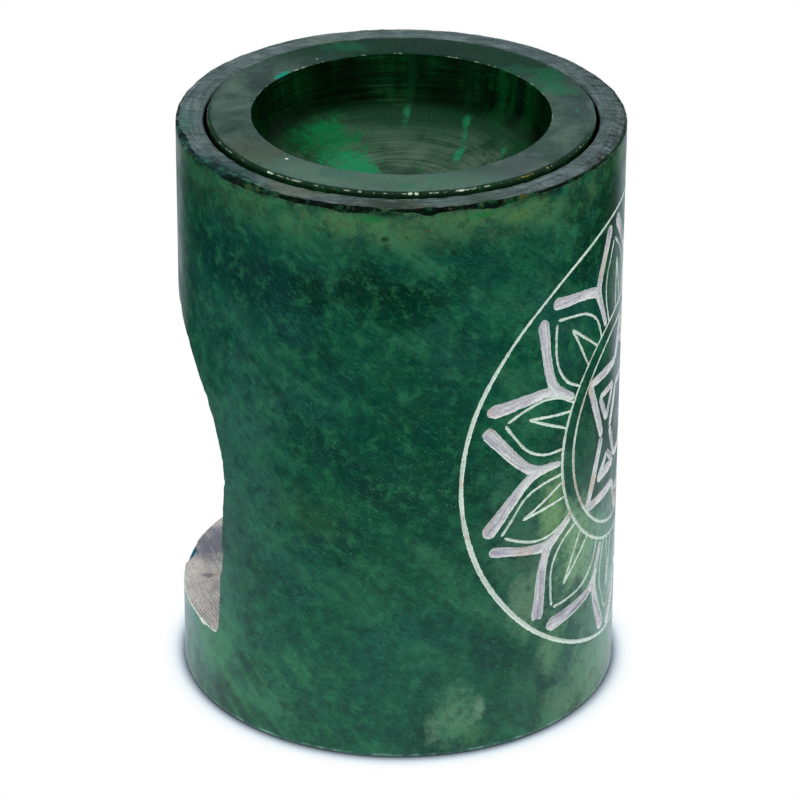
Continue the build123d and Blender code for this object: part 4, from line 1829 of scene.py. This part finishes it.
    def build(self, finishes: dict[Zone, Material]) -> Piece:
        """Turns, saws, engraves and dresses the body.

        Args:
            finishes: The finish of each zone.

        Returns:
            The finished piece.
        """
        body = turn("carved_stone_body", self.outline(), self.segments, self.worn)
        for zone in Zone:
            body.data.materials.append(finishes[zone])
        strokes = strokes_curve("burr_strokes", Lotus().strokes() + self.arch_wear())
        arch = self.arch_solid(finishes[Zone.SAWN])
        values = {
            "Strokes": strokes,
            "Arch": arch,
            "Wall Radius": self.radius,
            "Step": self.stroke_step,
            "Least Depth": self.least_depth,
            "Depth Share": self.depth_share,
            "Ragged": self.ragged,
            "Jitter": self.jitter,
            "Cut Finish": finishes[Zone.CUT],
        }
        carve_graph().run(body, values)
        for helper in (strokes, arch):
            bpy.data.objects.remove(helper)
        crisp_edges(body.data, self.crisp_angle)
        round_normals(body.data, [self.radius, self.seat_radius, self.chamber_radius], self.round_slack)
        seat(body, "burner_body", "burner", "dyed_soapstone")
        return body


@dataclass
class OilDish:
    """The loose dish: a polished ring round a turned bowl."""

    floor: float = 4.0 * MM
    edge_round: float = 0.45 * MM
    boss_round: float = 5.0 * MM
    flange_bevel: float = 0.4 * MM
    bowl_wall: float = 2.9 * MM
    lip_round: float = 0.28 * MM
    bowl_depth: float = 13.5 * MM
    wall_depth: float = 6.3 * MM
    wall_draft: float = 0.6 * MM
    corner_round: float = 4.0 * MM
    flange_depth: float = 8.6 * MM
    boss_inset: float = 4.0 * MM
    segments: int = 768
    edge_pitch: float = 0.14 * MM
    crisp_angle: float = 50
    edge_reach: float = 0.9 * MM
    lip_reach: float = 0.42 * MM
    edge_chips: tuple[tuple[float, float, float], ...] = (
        (-121, 3.4, 0.1), (-112, 3.8, 0.11), (-91.5, 0.7, 0.12), (-82, 0.5, 0.12), (-77, 0.9, 0.1),
        (-75, 0.7, 0.16), (-70, 0.5, 0.12), (-67, 0.4, 0.14), (-61, 4.4, 0.12), (-40, 3.4, 0.1),
        (-32, 0.8, 0.12), (38, 1.2, 0.12), (150, 1.5, 0.12),
    )
    lip_chips: tuple[tuple[float, float, float], ...] = (
        (64, 5.0, 0.05), (50, 3.0, 0.05), (132, 5.0, 0.04), (-206, 3.4, 0.1),
    )

    def __post_init__(self) -> None:
        """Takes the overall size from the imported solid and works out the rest."""
        low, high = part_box("oil_dish")
        self.radius = (high[0] - low[0]) / 2
        self.top = high[2]
        self.bottom = low[2]
        self.flange_level = self.top - self.flange_depth
        self.boss_radius = self.radius - self.boss_inset
        self.lip_radius = self.boss_radius - self.bowl_wall

    def outline(self) -> list[Knot]:
        """The turned section, from under the dish to the middle of the bowl.

        Returns:
            Its rings.
        """
        ring, bowl = 0, 1
        foot_out = self.lip_radius - self.wall_draft
        foot_up = self.top - self.wall_depth
        corners = [
            Corner(0, self.bottom, side=ring),
            Corner(self.boss_radius, self.bottom, self.boss_round, ring, 8 * MM),
            Corner(self.boss_radius, self.flange_level, 0, ring, 8 * MM),
            Corner(self.radius - self.flange_bevel, self.flange_level, 0, ring, 8 * MM),
            Corner(self.radius, self.flange_level + self.flange_bevel, 0, ring, 1.4 * MM),
            Corner(self.radius, self.top, self.edge_round, ring, 0.5 * MM),
            Corner(self.lip_radius, self.top, self.lip_round, bowl, 1.2 * MM),
        ]
        knots = turned_outline(corners + [Corner(foot_out, foot_up)], self.edge_pitch)[:-1]
        return knots + self.bowl_floor(foot_out, foot_up, bowl)

    def bowl_floor(self, foot_out: float, foot_up: float, side: int) -> list[Knot]:
        """The rounded foot of the bowl's wall and its hollow floor.

        Args:
            foot_out: Where the wall would meet the floor, from the axis.
            foot_up: How high that is.
            side: The face's zone.

        Returns:
            The rings from the wall to the axis.
        """
        deepest = self.top - self.bowl_depth
        drop = foot_up - deepest
        arc = (foot_out ** 2 + drop ** 2) / (2 * drop)
        wall = Vector((self.wall_draft, self.wall_depth)).normalized()
        start = Vector((foot_out, foot_up)) + wall * self.corner_round * 0.72
        meet_out = foot_out - self.corner_round * 0.72
        end = Vector((meet_out, deepest + arc - math.sqrt(arc ** 2 - meet_out ** 2)))
        slope = Vector((1, meet_out / math.sqrt(arc ** 2 - meet_out ** 2))).normalized()
        knots = []
        for step in range(11):
            t = step / 11
            reach = (start - end).length * 0.42
            near_wall = start - wall * reach
            near_floor = end + slope * reach
            spot = (
                start * (1 - t) ** 3 + near_wall * 3 * t * (1 - t) ** 2
                + near_floor * 3 * t * t * (1 - t) + end * t ** 3
            )
            knots.append(Knot(spot.x, spot.y, side))
        for step in range(14):
            out = meet_out * (1 - step / 14)
            knots.append(Knot(out, deepest + arc - math.sqrt(arc ** 2 - out ** 2), side))
        knots.append(Knot(0, deepest, side))
        return knots

    def chipped(self, degrees: float, chips: tuple[tuple[float, float, float], ...]) -> float:
        """The deepest of the chips at an angle.

        Args:
            degrees: The angle from -Y.
            chips: Each chip's angle, half its length in degrees, and its depth in millimetres.

        Returns:
            The depth, in millimetres.
        """
        deepest = 0.0
        for middle, half_length, depth in chips:
            away = abs((degrees - middle + 180) % 360 - 180) / half_length
            deepest = max(deepest, depth * max(0.0, 1 - away * away) ** 0.5)
        return deepest

    def worn(self, out: float, up: float, angle: float) -> tuple[float, float, float]:
        """Chips the ring's outer edge, most where it is handled, and rubs the lip.

        Args:
            out: A point's distance from the axis.
            up: Its height.
            angle: Its angle from -Y.

        Returns:
            The worn point's distance and height, and the stone lost there in millimetres.
        """
        degrees = math.degrees(angle)
        from_edge = math.hypot(self.radius - out, self.top - up)
        near = max(0.0, 1 - from_edge / self.edge_reach)
        if near:
            grit = fray(angle, up, 0.7 * MM, 5.0)
            depth = self.chipped(degrees, self.edge_chips) * (1 + 0.5 * grit)
            depth += max(0.0, 0.04 + 0.1 * fray(angle, up, 1.5 * MM, 71.0) + 0.05 * grit)
            lost = depth * min(1.0, near * 1.6)
            chip = self.chipped(degrees, self.edge_chips) * ease(from_edge, 0.42 * MM, 0.2 * MM)
            chip += 0.4 * grit * lost
            return out - lost * 0.7 * MM, up - lost * 0.6 * MM, chip
        from_lip = math.hypot(out - self.lip_radius, self.top - up)
        near = max(0.0, 1 - from_lip / self.lip_reach)
        if near:
            far = ease(math.sin(angle), -0.35, 0.5)
            depth = max(0.0, 0.03 + (0.03 + 0.09 * far) * fray(angle, up, 0.9 * MM, 91.0))
            depth += self.chipped(degrees, self.lip_chips)
            lost = depth * min(1.0, near * 1.6)
            return out + lost * 0.6 * MM, up - lost * 0.6 * MM, 0.0
        return out, up, 0.0

    def build(self, ring: Material, bowl: Material) -> Piece:
        """Turns and dresses the dish.

        Args:
            ring: The finish of the ring and the outside.
            bowl: The finish of the bowl.

        Returns:
            The finished piece.
        """
        dish = turn("turned_oil_dish", self.outline(), self.segments, self.worn)
        for finish in (ring, bowl):
            dish.data.materials.append(finish)
        crisp_edges(dish.data, self.crisp_angle)
        seat(dish, "oil_dish", "dish", "dish_soapstone")
        return dish


def flute_graph() -> GeometryGraph:
    """The tree that presses upright flutes into a cup's wall.

    Returns:
        The tree, with the count, depth and height of the flutes as its inputs.
    """
    graph = GeometryGraph("flutes")
    cup = graph.input("Cup", "Geometry")
    count = graph.number("Flutes", 48.0)
    depth = graph.number("Depth", 0.2 * MM)
    low = graph.number("Lowest", 0.0)
    high = graph.number("Highest", 10 * MM)
    least = graph.number("Inner Radius", 15 * MM)
    finish = graph.input("Finish", "Material")
    x, y, z = graph.separate(graph.make("InputPosition"))
    share = ((z - low) / (high - low)).apply("MAXIMUM", 0).apply("MINIMUM", 1)
    swell = (share * math.pi).apply("SINE").apply("MAXIMUM", 0) ** 0.5
    angle = x.apply("ARCTAN2", y * -1)
    wave = (angle * count).apply("COSINE") * 0.5 - 0.5
    out = graph.length(graph.combine(x, y))
    moved = wave * depth * swell * out.apply("GREATER_THAN", least) / out
    offset = graph.combine(x * moved, y * moved)
    graph.give(graph.make("SetPosition", {"Geometry": cup, "Offset": offset}), finish)
    return graph


def braid_graph() -> GeometryGraph:
    """The tree that plaits round strands along a curve.

    Returns:
        The tree, with the strands' number, size, reach and lay as its inputs.
    """
    graph = GeometryGraph("braid")
    graph.input("Unused Mesh", "Geometry")
    core = graph.input("Centre Line", "Object")
    strands = graph.input("Strands", "Int", 6)
    strand_radius = graph.input("Strand Radius", "Float", 0.3 * MM)
    reach = graph.number("Reach", 0.5 * MM)
    lay = graph.number("Lay", 4 * MM)
    finish = graph.input("Finish", "Material")
    line = graph.make("ObjectInfo", {"Object": core}, output="Geometry")
    fine = graph.make("ResampleCurve", {"Curve": line, "Length": 0.12 * MM}, {"mode": "LENGTH"})
    kept = graph.store(fine, "along", graph.make("SplineParameter", output="Length"))
    sockets = {"Geometry": kept, "Amount": strands}
    copies = graph.node("GeometryNodeDuplicateElements", {"domain": "SPLINE"}, sockets).outputs
    numbered = graph.store(copies["Geometry"], "strand", copies["Duplicate Index"], "CURVE")
    strand = graph.named("strand")
    way = 1 - strand.apply("MODULO", 2) * 2
    turned = graph.named("along") / lay * math.tau
    start = strand * (math.tau / 6)
    angle = start + turned * way
    weave = (turned * 3 + start * way).apply("COSINE") * way * -1
    out = reach * (1 + weave * 0.16)
    offset = graph.combine(out * angle.apply("COSINE"), out * angle.apply("SINE"))
    placed = graph.make("SetPosition", {"Geometry": numbered, "Offset": offset})
    circle = graph.make("CurvePrimitiveCircle", {"Resolution": 7, "Radius": strand_radius}, output="Curve")
    tubes = graph.make("CurveToMesh", {"Curve": placed, "Profile Curve": circle, "Fill Caps": True})
    graph.give(graph.make("SetShadeSmooth", {"Geometry": tubes}), finish)
    return graph


@dataclass
class Tealight:
    """The tealight in the chamber: a fluted cup, its wax, its wick and the steel that holds it."""

    cup_wall: float = 0.3 * MM
    cup_draft: float = 0.25 * MM
    base_round: float = 0.8 * MM
    bead: float = 0.45 * MM
    wax_gap: float = 0.1 * MM
    meniscus: float = 0.5 * MM
    wick_radius: float = 0.8 * MM
    sustainer_plate: float = 0.3 * MM
    sustainer_radius: float = 6.0 * MM
    neck_radius: float = 1.2 * MM
    neck_bore: float = 0.85 * MM
    neck_height: float = 3.0 * MM
    sustainer_gap: float = 0.05 * MM
    flutes: int = 56
    flute_depth: float = 0.16 * MM
    steps_per_flute: int = 8
    wax_segments: int = 160
    disc_segments: int = 96
    strands: int = 6
    strand_radius: float = 0.31 * MM
    braid_lay: float = 5.2 * MM
    wick_bend: float = 0.9 * MM
    cup_crisp: float = 60
    crisp_angle: float = 50

    def __post_init__(self) -> None:
        """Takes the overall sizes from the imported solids."""
        low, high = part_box("tealight_cup")
        self.base = low[2]
        self.rim = high[2]
        self.rim_radius = (high[0] - low[0]) / 2
        self.top_radius = self.rim_radius - self.bead + self.cup_wall / 2
        self.foot_radius = self.top_radius - self.cup_draft
        self.wax_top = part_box("tealight_wax")[1][2]
        self.wick_low, self.wick_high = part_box("tealight_wick")[0][2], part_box("tealight_wick")[1][2]

    def build_cup(self, finish: Material) -> Piece:
        """The cup, with its rolled bead and its pressed flutes.

        Args:
            finish: The cup's metal.

        Returns:
            The finished piece.
        """
        wall = self.cup_wall
        inner_top = self.top_radius - wall
        bead_up = self.rim - self.bead
        corners = [
            Corner(0, self.base + 0.35 * MM, pitch=2 * MM),
            Corner(self.foot_radius * 0.72, self.base + 0.35 * MM, 0.6 * MM, pitch=2 * MM),
            Corner(self.foot_radius * 0.78, self.base, 0.5 * MM, pitch=2 * MM),
            Corner(self.foot_radius, self.base, self.base_round, pitch=0.7 * MM),
            Corner(self.top_radius, bead_up - self.bead, 0, pitch=0.2 * MM),
        ]
        knots = turned_outline(corners, 0.18 * MM)
        middle = self.top_radius - wall / 2
        for step in range(17):
            turned = math.radians(-62 + 304 * step / 16)
            knots.append(
                Knot(middle + self.bead * math.cos(turned), bead_up + self.bead * math.sin(turned), 0)
            )
        inner = [
            Corner(inner_top, bead_up - self.bead, 0, pitch=0.7 * MM),
            Corner(self.foot_radius - wall, self.base + wall, self.base_round - wall, pitch=2 * MM),
            Corner(self.foot_radius * 0.78, self.base + wall, 0, pitch=2 * MM),
            Corner(0, self.base + wall + 0.2 * MM),
        ]
        knots += turned_outline(inner, 0.18 * MM)
        cup = turn("fluted_tealight_cup", knots, self.flutes * self.steps_per_flute)
        flute_graph().run(
            cup,
            {
                "Flutes": float(self.flutes),
                "Depth": self.flute_depth,
                "Lowest": self.base + 0.7 * MM,
                "Highest": bead_up - 0.9 * MM,
                "Inner Radius": self.foot_radius - wall * 0.5,
                "Finish": finish,
            },
        )
        crisp_edges(cup.data, self.cup_crisp)
        seat(cup, "tealight_cup", "tealight", "cup_aluminium")
        return cup

    def build_wax(self, finish: Material) -> Piece:
        """The wax, drawn up at its edge and sunk a little round the wick.

        Args:
            finish: The wax.

        Returns:
            The finished piece.
        """
        low = self.base + self.cup_wall + self.wax_gap
        outer = self.foot_radius - self.cup_wall - self.wax_gap
        bore = self.wick_radius + self.sustainer_gap
        neck = self.neck_radius + self.sustainer_gap
        plate = low - self.wax_gap + self.sustainer_plate + self.sustainer_gap
        plate_radius = self.sustainer_radius + self.sustainer_gap
        sunk = self.wax_top - self.meniscus
        corners = [
            Corner(plate_radius, low, pitch=6 * MM),
            Corner(outer, low, 0.5 * MM, pitch=6 * MM),
            Corner(outer, self.wax_top, 0.12 * MM, pitch=0.4 * MM),
            Corner(outer - 0.9 * MM, sunk + 0.1 * MM, 1.2 * MM, pitch=1.2 * MM),
            Corner(3.4 * MM, sunk - 0.02 * MM, 2 * MM, pitch=0.5 * MM),
            Corner(bore + 0.5 * MM, sunk - 0.25 * MM, 0.3 * MM, pitch=0.3 * MM),
            Corner(bore, sunk + 0.15 * MM, 0, pitch=4 * MM),
            Corner(bore, plate + self.neck_height, 0, pitch=4 * MM),
            Corner(neck, plate + self.neck_height, 0, pitch=4 * MM),
            Corner(neck, plate, 0, pitch=4 * MM),
            Corner(plate_radius, plate, 0, pitch=4 * MM),
            Corner(plate_radius, low, 0),
        ]
        knots = turned_outline(corners, 0.2 * MM)[:-1]
        wax = turn("cast_candle_wax", knots, self.wax_segments)
        wax.data.materials.append(finish)
        crisp_edges(wax.data, self.crisp_angle)
        seat(wax, "tealight_wax", "tealight", "candle_wax")
        return wax

    def build_wick(self, finish: Material) -> Piece:
        """The plaited wick, with its top bent over.

        Args:
            finish: The waxed cotton.

        Returns:
            The finished piece.
        """
        bend = self.wick_bend
        straight = self.wax_top + 1.5 * MM
        points = [Vector((0, 0, self.wick_low + 0.05 * MM)), Vector((0, 0, straight))]
        for share in (0.25, 0.5, 0.75, 1.0):
            rise = straight + (self.wick_high - 0.45 * MM - straight) * share
            points.append(Vector((-bend * share * share, bend * 0.5 * share * share, rise)))
        line = strokes_curve("wick_line", [Stroke(points, [1.0] * len(points))])
        wick = in_scene("braided_wick", bpy.data.meshes.new("braided_wick"))
        braid_graph().run(
            wick,
            {
                "Centre Line": line,
                "Strands": self.strands,
                "Strand Radius": self.strand_radius,
                "Reach": self.wick_radius - self.strand_radius * 1.35,
                "Lay": self.braid_lay,
                "Finish": finish,
            },
        )
        bpy.data.objects.remove(line)
        seat(wick, "tealight_wick", "tealight", "cotton_wick")
        return wick

    def build_sustainer(self, finish: Material) -> Piece:
        """The pressed steel disc with the neck that grips the wick.

        Args:
            finish: The tinned steel.

        Returns:
            The finished piece.
        """
        low = self.base + self.cup_wall
        plate = low + self.sustainer_plate
        neck_top = plate + self.neck_height
        corners = [
            Corner(0, low, pitch=4 * MM),
            Corner(self.sustainer_radius, low, 0.1 * MM, pitch=4 * MM),
            Corner(self.sustainer_radius, plate, 0.1 * MM, pitch=1.5 * MM),
            Corner(self.neck_radius, plate, 0.35 * MM, pitch=0.5 * MM),
            Corner(self.neck_radius, neck_top, 0.1 * MM, pitch=1 * MM),
            Corner(self.neck_bore, neck_top, 0.1 * MM, pitch=1 * MM),
            Corner(self.neck_bore, plate, 0, pitch=1 * MM),
            Corner(0, plate),
        ]
        steel = turn("wick_holder_disc", turned_outline(corners, 0.12 * MM), self.disc_segments)
        steel.data.materials.append(finish)
        crisp_edges(steel.data, self.crisp_angle)
        seat(steel, "wick_sustainer", "tealight", "tinned_steel")
        return steel


@dataclass
class Studio:
    """A white table under soft light, and the camera at the photograph's angle."""

    pitch: float = 27.258
    azimuth: float = -79.6
    distance: float = 723.4 * MM
    aim_height: float = 45.38 * MM
    aim_aside: float = 0.045 * MM
    roll: float = 0.337
    focal_pixels: float = 4522.3
    picture_pixels: float = 800.0
    sensor: float = 36.0
    ambient: float = 0.4
    lamp_distance: float = 1.5
    lamp_size: float = 0.9
    ring_lamps: tuple[float, ...] = (-50, 22, 94, 166, 238)
    ring_rise: float = 20
    ring_watts: float = 7.5
    top_rise: float = 80
    top_watts: float = 7.0
    backdrop_gloss: float = 0.13
    near_gloss: float = 1.12
    far_gloss: float = 0.72
    shadow_reach: float = 5.5 * MM
    gloss_colour: Colour = (0.8, 0.89, 1.0, 1.0)

    def build(self) -> None:
        """Sets up the camera, the table, the light and the colour handling."""
        self.build_camera()
        self.build_floor()
        self.build_world()
        self.build_lamps()
        bpy.context.scene.view_settings.view_transform = "Standard"

    def towards_camera(self) -> Vector:
        """The level direction from the object to the camera."""
        turned = math.radians(self.azimuth)
        return Vector((math.sin(turned), -math.cos(turned), 0.0))

    def build_camera(self) -> None:
        """The camera, from the fit of the photograph's ellipses."""
        down = math.radians(self.pitch)
        near = self.towards_camera()
        right = Vector((-near.y, near.x, 0.0))
        aim = right * self.aim_aside + Vector((0, 0, self.aim_height))
        back = near * math.cos(down) + Vector((0, 0, math.sin(down)))
        data = bpy.data.cameras.new("photo_camera")
        data.sensor_width = self.sensor
        data.lens = self.focal_pixels / self.picture_pixels * self.sensor
        data.clip_start, data.clip_end = 0.01, 20.0
        camera = in_scene("photo_camera", data)
        facing = (-back).to_track_quat("-Z", "Y").to_matrix().to_4x4()
        tilt = Matrix.Rotation(math.radians(self.roll), 4, "Z")
        camera.matrix_world = Matrix.Translation(aim + back * self.distance) @ facing @ tilt
        bpy.context.scene.camera = camera

    def build_floor(self) -> None:
        """The white table, which keeps the burner's shadow."""
        half = 6.0
        mesh = bpy.data.meshes.new("table_top")
        mesh.from_pydata(
            [(-half, -half, 0), (half, -half, 0), (half, half, 0), (-half, half, 0)], [], [[0, 1, 2, 3]]
        )
        floor = in_scene("table_top", mesh)
        material = bpy.data.materials.new("white_table")
        material.use_nodes = True
        material.node_tree.nodes.clear()
        material.cycles.emission_sampling = "NONE"
        graph = Graph(material.node_tree)
        rays = graph.node("ShaderNodeLightPath").outputs
        lit = graph.node("ShaderNodeBsdfDiffuse", {}, {"Color": (0.42, 0.43, 0.44, 1.0)})
        open_sky = graph.node("ShaderNodeAmbientOcclusion", {"samples": 16}, {"Distance": self.shadow_reach})
        shade = graph.ramp(
            open_sky.outputs["AO"],
            (0.5, 54, 66, 76),
            (0.57, 150, 162, 172),
            (0.66, 220, 234, 242),
            (0.77, 246, 251, 253),
            (0.92, 255, 255, 255),
        )
        seen = graph.node("ShaderNodeEmission", {}, {"Color": shade, "Strength": 1.0})
        shown = graph.node(
            "ShaderNodeMixShader", {}, {0: rays["Is Camera Ray"], 1: lit.outputs[0], 2: seen.outputs[0]}
        )
        mirrored = graph.node(
            "ShaderNodeEmission", {}, {"Color": self.gloss_colour, "Strength": self.table_gloss(graph)}
        )
        table = graph.node(
            "ShaderNodeMixShader", {}, {0: rays["Is Glossy Ray"], 1: shown.outputs[0], 2: mirrored.outputs[0]}
        )
        graph.node("ShaderNodeOutputMaterial", {}, {"Surface": table.outputs[0]})
        mesh.materials.append(material)

    def table_gloss(self, graph: Graph) -> Term:
        """How bright the table looks in the stone's polish: near the burner, and all along behind it.

        Args:
            graph: The table's tree.

        Returns:
            The brightness over the table.
        """
        place = graph.node("ShaderNodeTexCoord").outputs["Object"]
        near = self.towards_camera()
        right = Vector((-near.y, near.x, 0.0))
        ahead = graph.dot(place, tuple(near))
        aside = graph.dot(place, tuple(right))
        away = graph.length(place)
        to_right = graph.smooth(aside, -0.05, 0.05, 0.9, 1.0)
        in_front = graph.smooth(ahead, -0.03, 0.05, 1.0, 0.42)
        close = self.near_gloss * in_front * graph.smooth(away, 0.14, 0.04) * to_right
        turned = ahead * -1 / away - graph.smooth(aside, -0.05, 0.05, 0.62, 0.54)
        turned = turned - graph.smooth(away, 0.15, 0.2) * graph.smooth(aside, -0.05, 0.05, 0.06, 0.13)
        behind = self.far_gloss * graph.smooth(turned, 0.0, 0.2) * graph.smooth(aside, -0.06, 0.06, 0.72, 1.0)
        return close.apply("MAXIMUM", behind)

    def build_world(self) -> None:
        """White all round for the camera, and a white backdrop behind the object for its gloss."""
        world = bpy.data.worlds.new("soft_studio")
        bpy.context.scene.world = world
        world.use_nodes = True
        world.cycles.sampling_method = "NONE"
        world.node_tree.nodes.clear()
        graph = Graph(world.node_tree)
        rays = graph.node("ShaderNodeLightPath").outputs
        direction = graph.node("ShaderNodeTexCoord").outputs["Generated"]
        behind = graph.dot(direction, tuple(-self.towards_camera()))
        backdrop = graph.smooth(behind, -0.1, 0.6, 0.01, self.backdrop_gloss)
        camera = Term(graph, rays["Is Camera Ray"]).apply("MAXIMUM", Term(graph, rays["Is Transmission Ray"]))
        glossy = Term(graph, rays["Is Glossy Ray"])
        strength = camera + (1 - camera) * (glossy * backdrop + (1 - glossy) * self.ambient)
        tint = graph.mix(glossy, (1, 1, 1, 1), self.gloss_colour)
        sky = graph.node("ShaderNodeBackground", {}, {"Color": tint, "Strength": strength})
        graph.node("ShaderNodeOutputWorld", {}, {"Surface": sky.outputs[0]})

    def build_lamps(self) -> None:
        """A ring of broad soft lamps round the burner, and one above it."""
        for turned in self.ring_lamps:
            self.build_lamp(turned, self.ring_rise, self.ring_watts)
        self.build_lamp(0, self.top_rise, self.top_watts)

    def build_lamp(self, turned: float, rise: float, watts: float) -> None:
        """One broad round lamp that faces the burner.

        Args:
            turned: Degrees round from the camera, to its right.
            rise: Degrees above the table.
            watts: Its power.
        """
        near = self.towards_camera()
        level = Matrix.Rotation(math.radians(turned), 3, "Z") @ near
        up = math.radians(rise)
        place = (level * math.cos(up) + Vector((0, 0, math.sin(up)))) * self.lamp_distance
        data = bpy.data.lights.new("soft_lamp", "AREA")
        data.shape = "DISK"
        data.size = self.lamp_size
        data.energy = watts
        lamp = in_scene("soft_lamp", data)
        lamp.matrix_world = Matrix.Translation(place) @ (-place).to_track_quat("-Z", "Y").to_matrix().to_4x4()
        lamp.visible_glossy = False


def report(piece: Piece) -> None:
    """Logs a piece's name, its size in millimetres and its triangles.

    Args:
        piece: The piece.
    """
    piece.data.calc_loop_triangles()
    low = Vector([min(corner[axis] for corner in piece.bound_box) for axis in range(3)])
    high = Vector([max(corner[axis] for corner in piece.bound_box) for axis in range(3)])
    size = (high - low) / MM
    log.info(
        "%s: %.1f x %.1f x %.1f mm, %d triangles",
        piece.name, size.x, size.y, size.z, len(piece.data.loop_triangles),
    )


def main() -> None:
    """Builds the studio and every piece, in order."""
    logging.basicConfig(level=logging.INFO, format="%(name)s: %(message)s")
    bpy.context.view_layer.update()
    Studio().build()
    wall = DyedWall("dyed_wall", rough=0.25, bump=0.022 * MM).build()
    rim = RimStone("rim_stone", rough=0.28, bump=0.05 * MM).build()
    bare = BareStone("bare_stone", rough=0.72, bump=0.09 * MM).build()
    cut = CutStone("cut_stone", rough=0.62, bump=0.08 * MM).build()
    body = BurnerBody().build(
        {Zone.WALL: wall, Zone.RIM: rim, Zone.CHAMBER: bare, Zone.CUT: cut, Zone.SAWN: bare}
    )
    report(body)
    ring = DishStone("dish_ring", rough=0.25, bump=0.035 * MM).build()
    bowl = BowlStone("dish_bowl", rough=0.3, bump=0.05 * MM, specular=0.3).build()
    report(OilDish().build(ring, bowl))
    tealight = Tealight()
    metal = CupAluminium("cup_aluminium", rough=0.3, bump=0.06 * MM, metallic=1.0).build()
    wax = CandleWax("candle_wax", rough=0.42, bump=0.04 * MM).build()
    cotton = CottonWick("cotton_wick", rough=0.8, bump=0.03 * MM).build()
    steel = TinnedSteel("tinned_steel", rough=0.35, metallic=1.0).build()
    report(tealight.build_cup(metal))
    report(tealight.build_wax(wax))
    report(tealight.build_wick(cotton))
    report(tealight.build_sustainer(steel))
    bpy.context.view_layer.update()


if __name__ == "__main__":
    main()
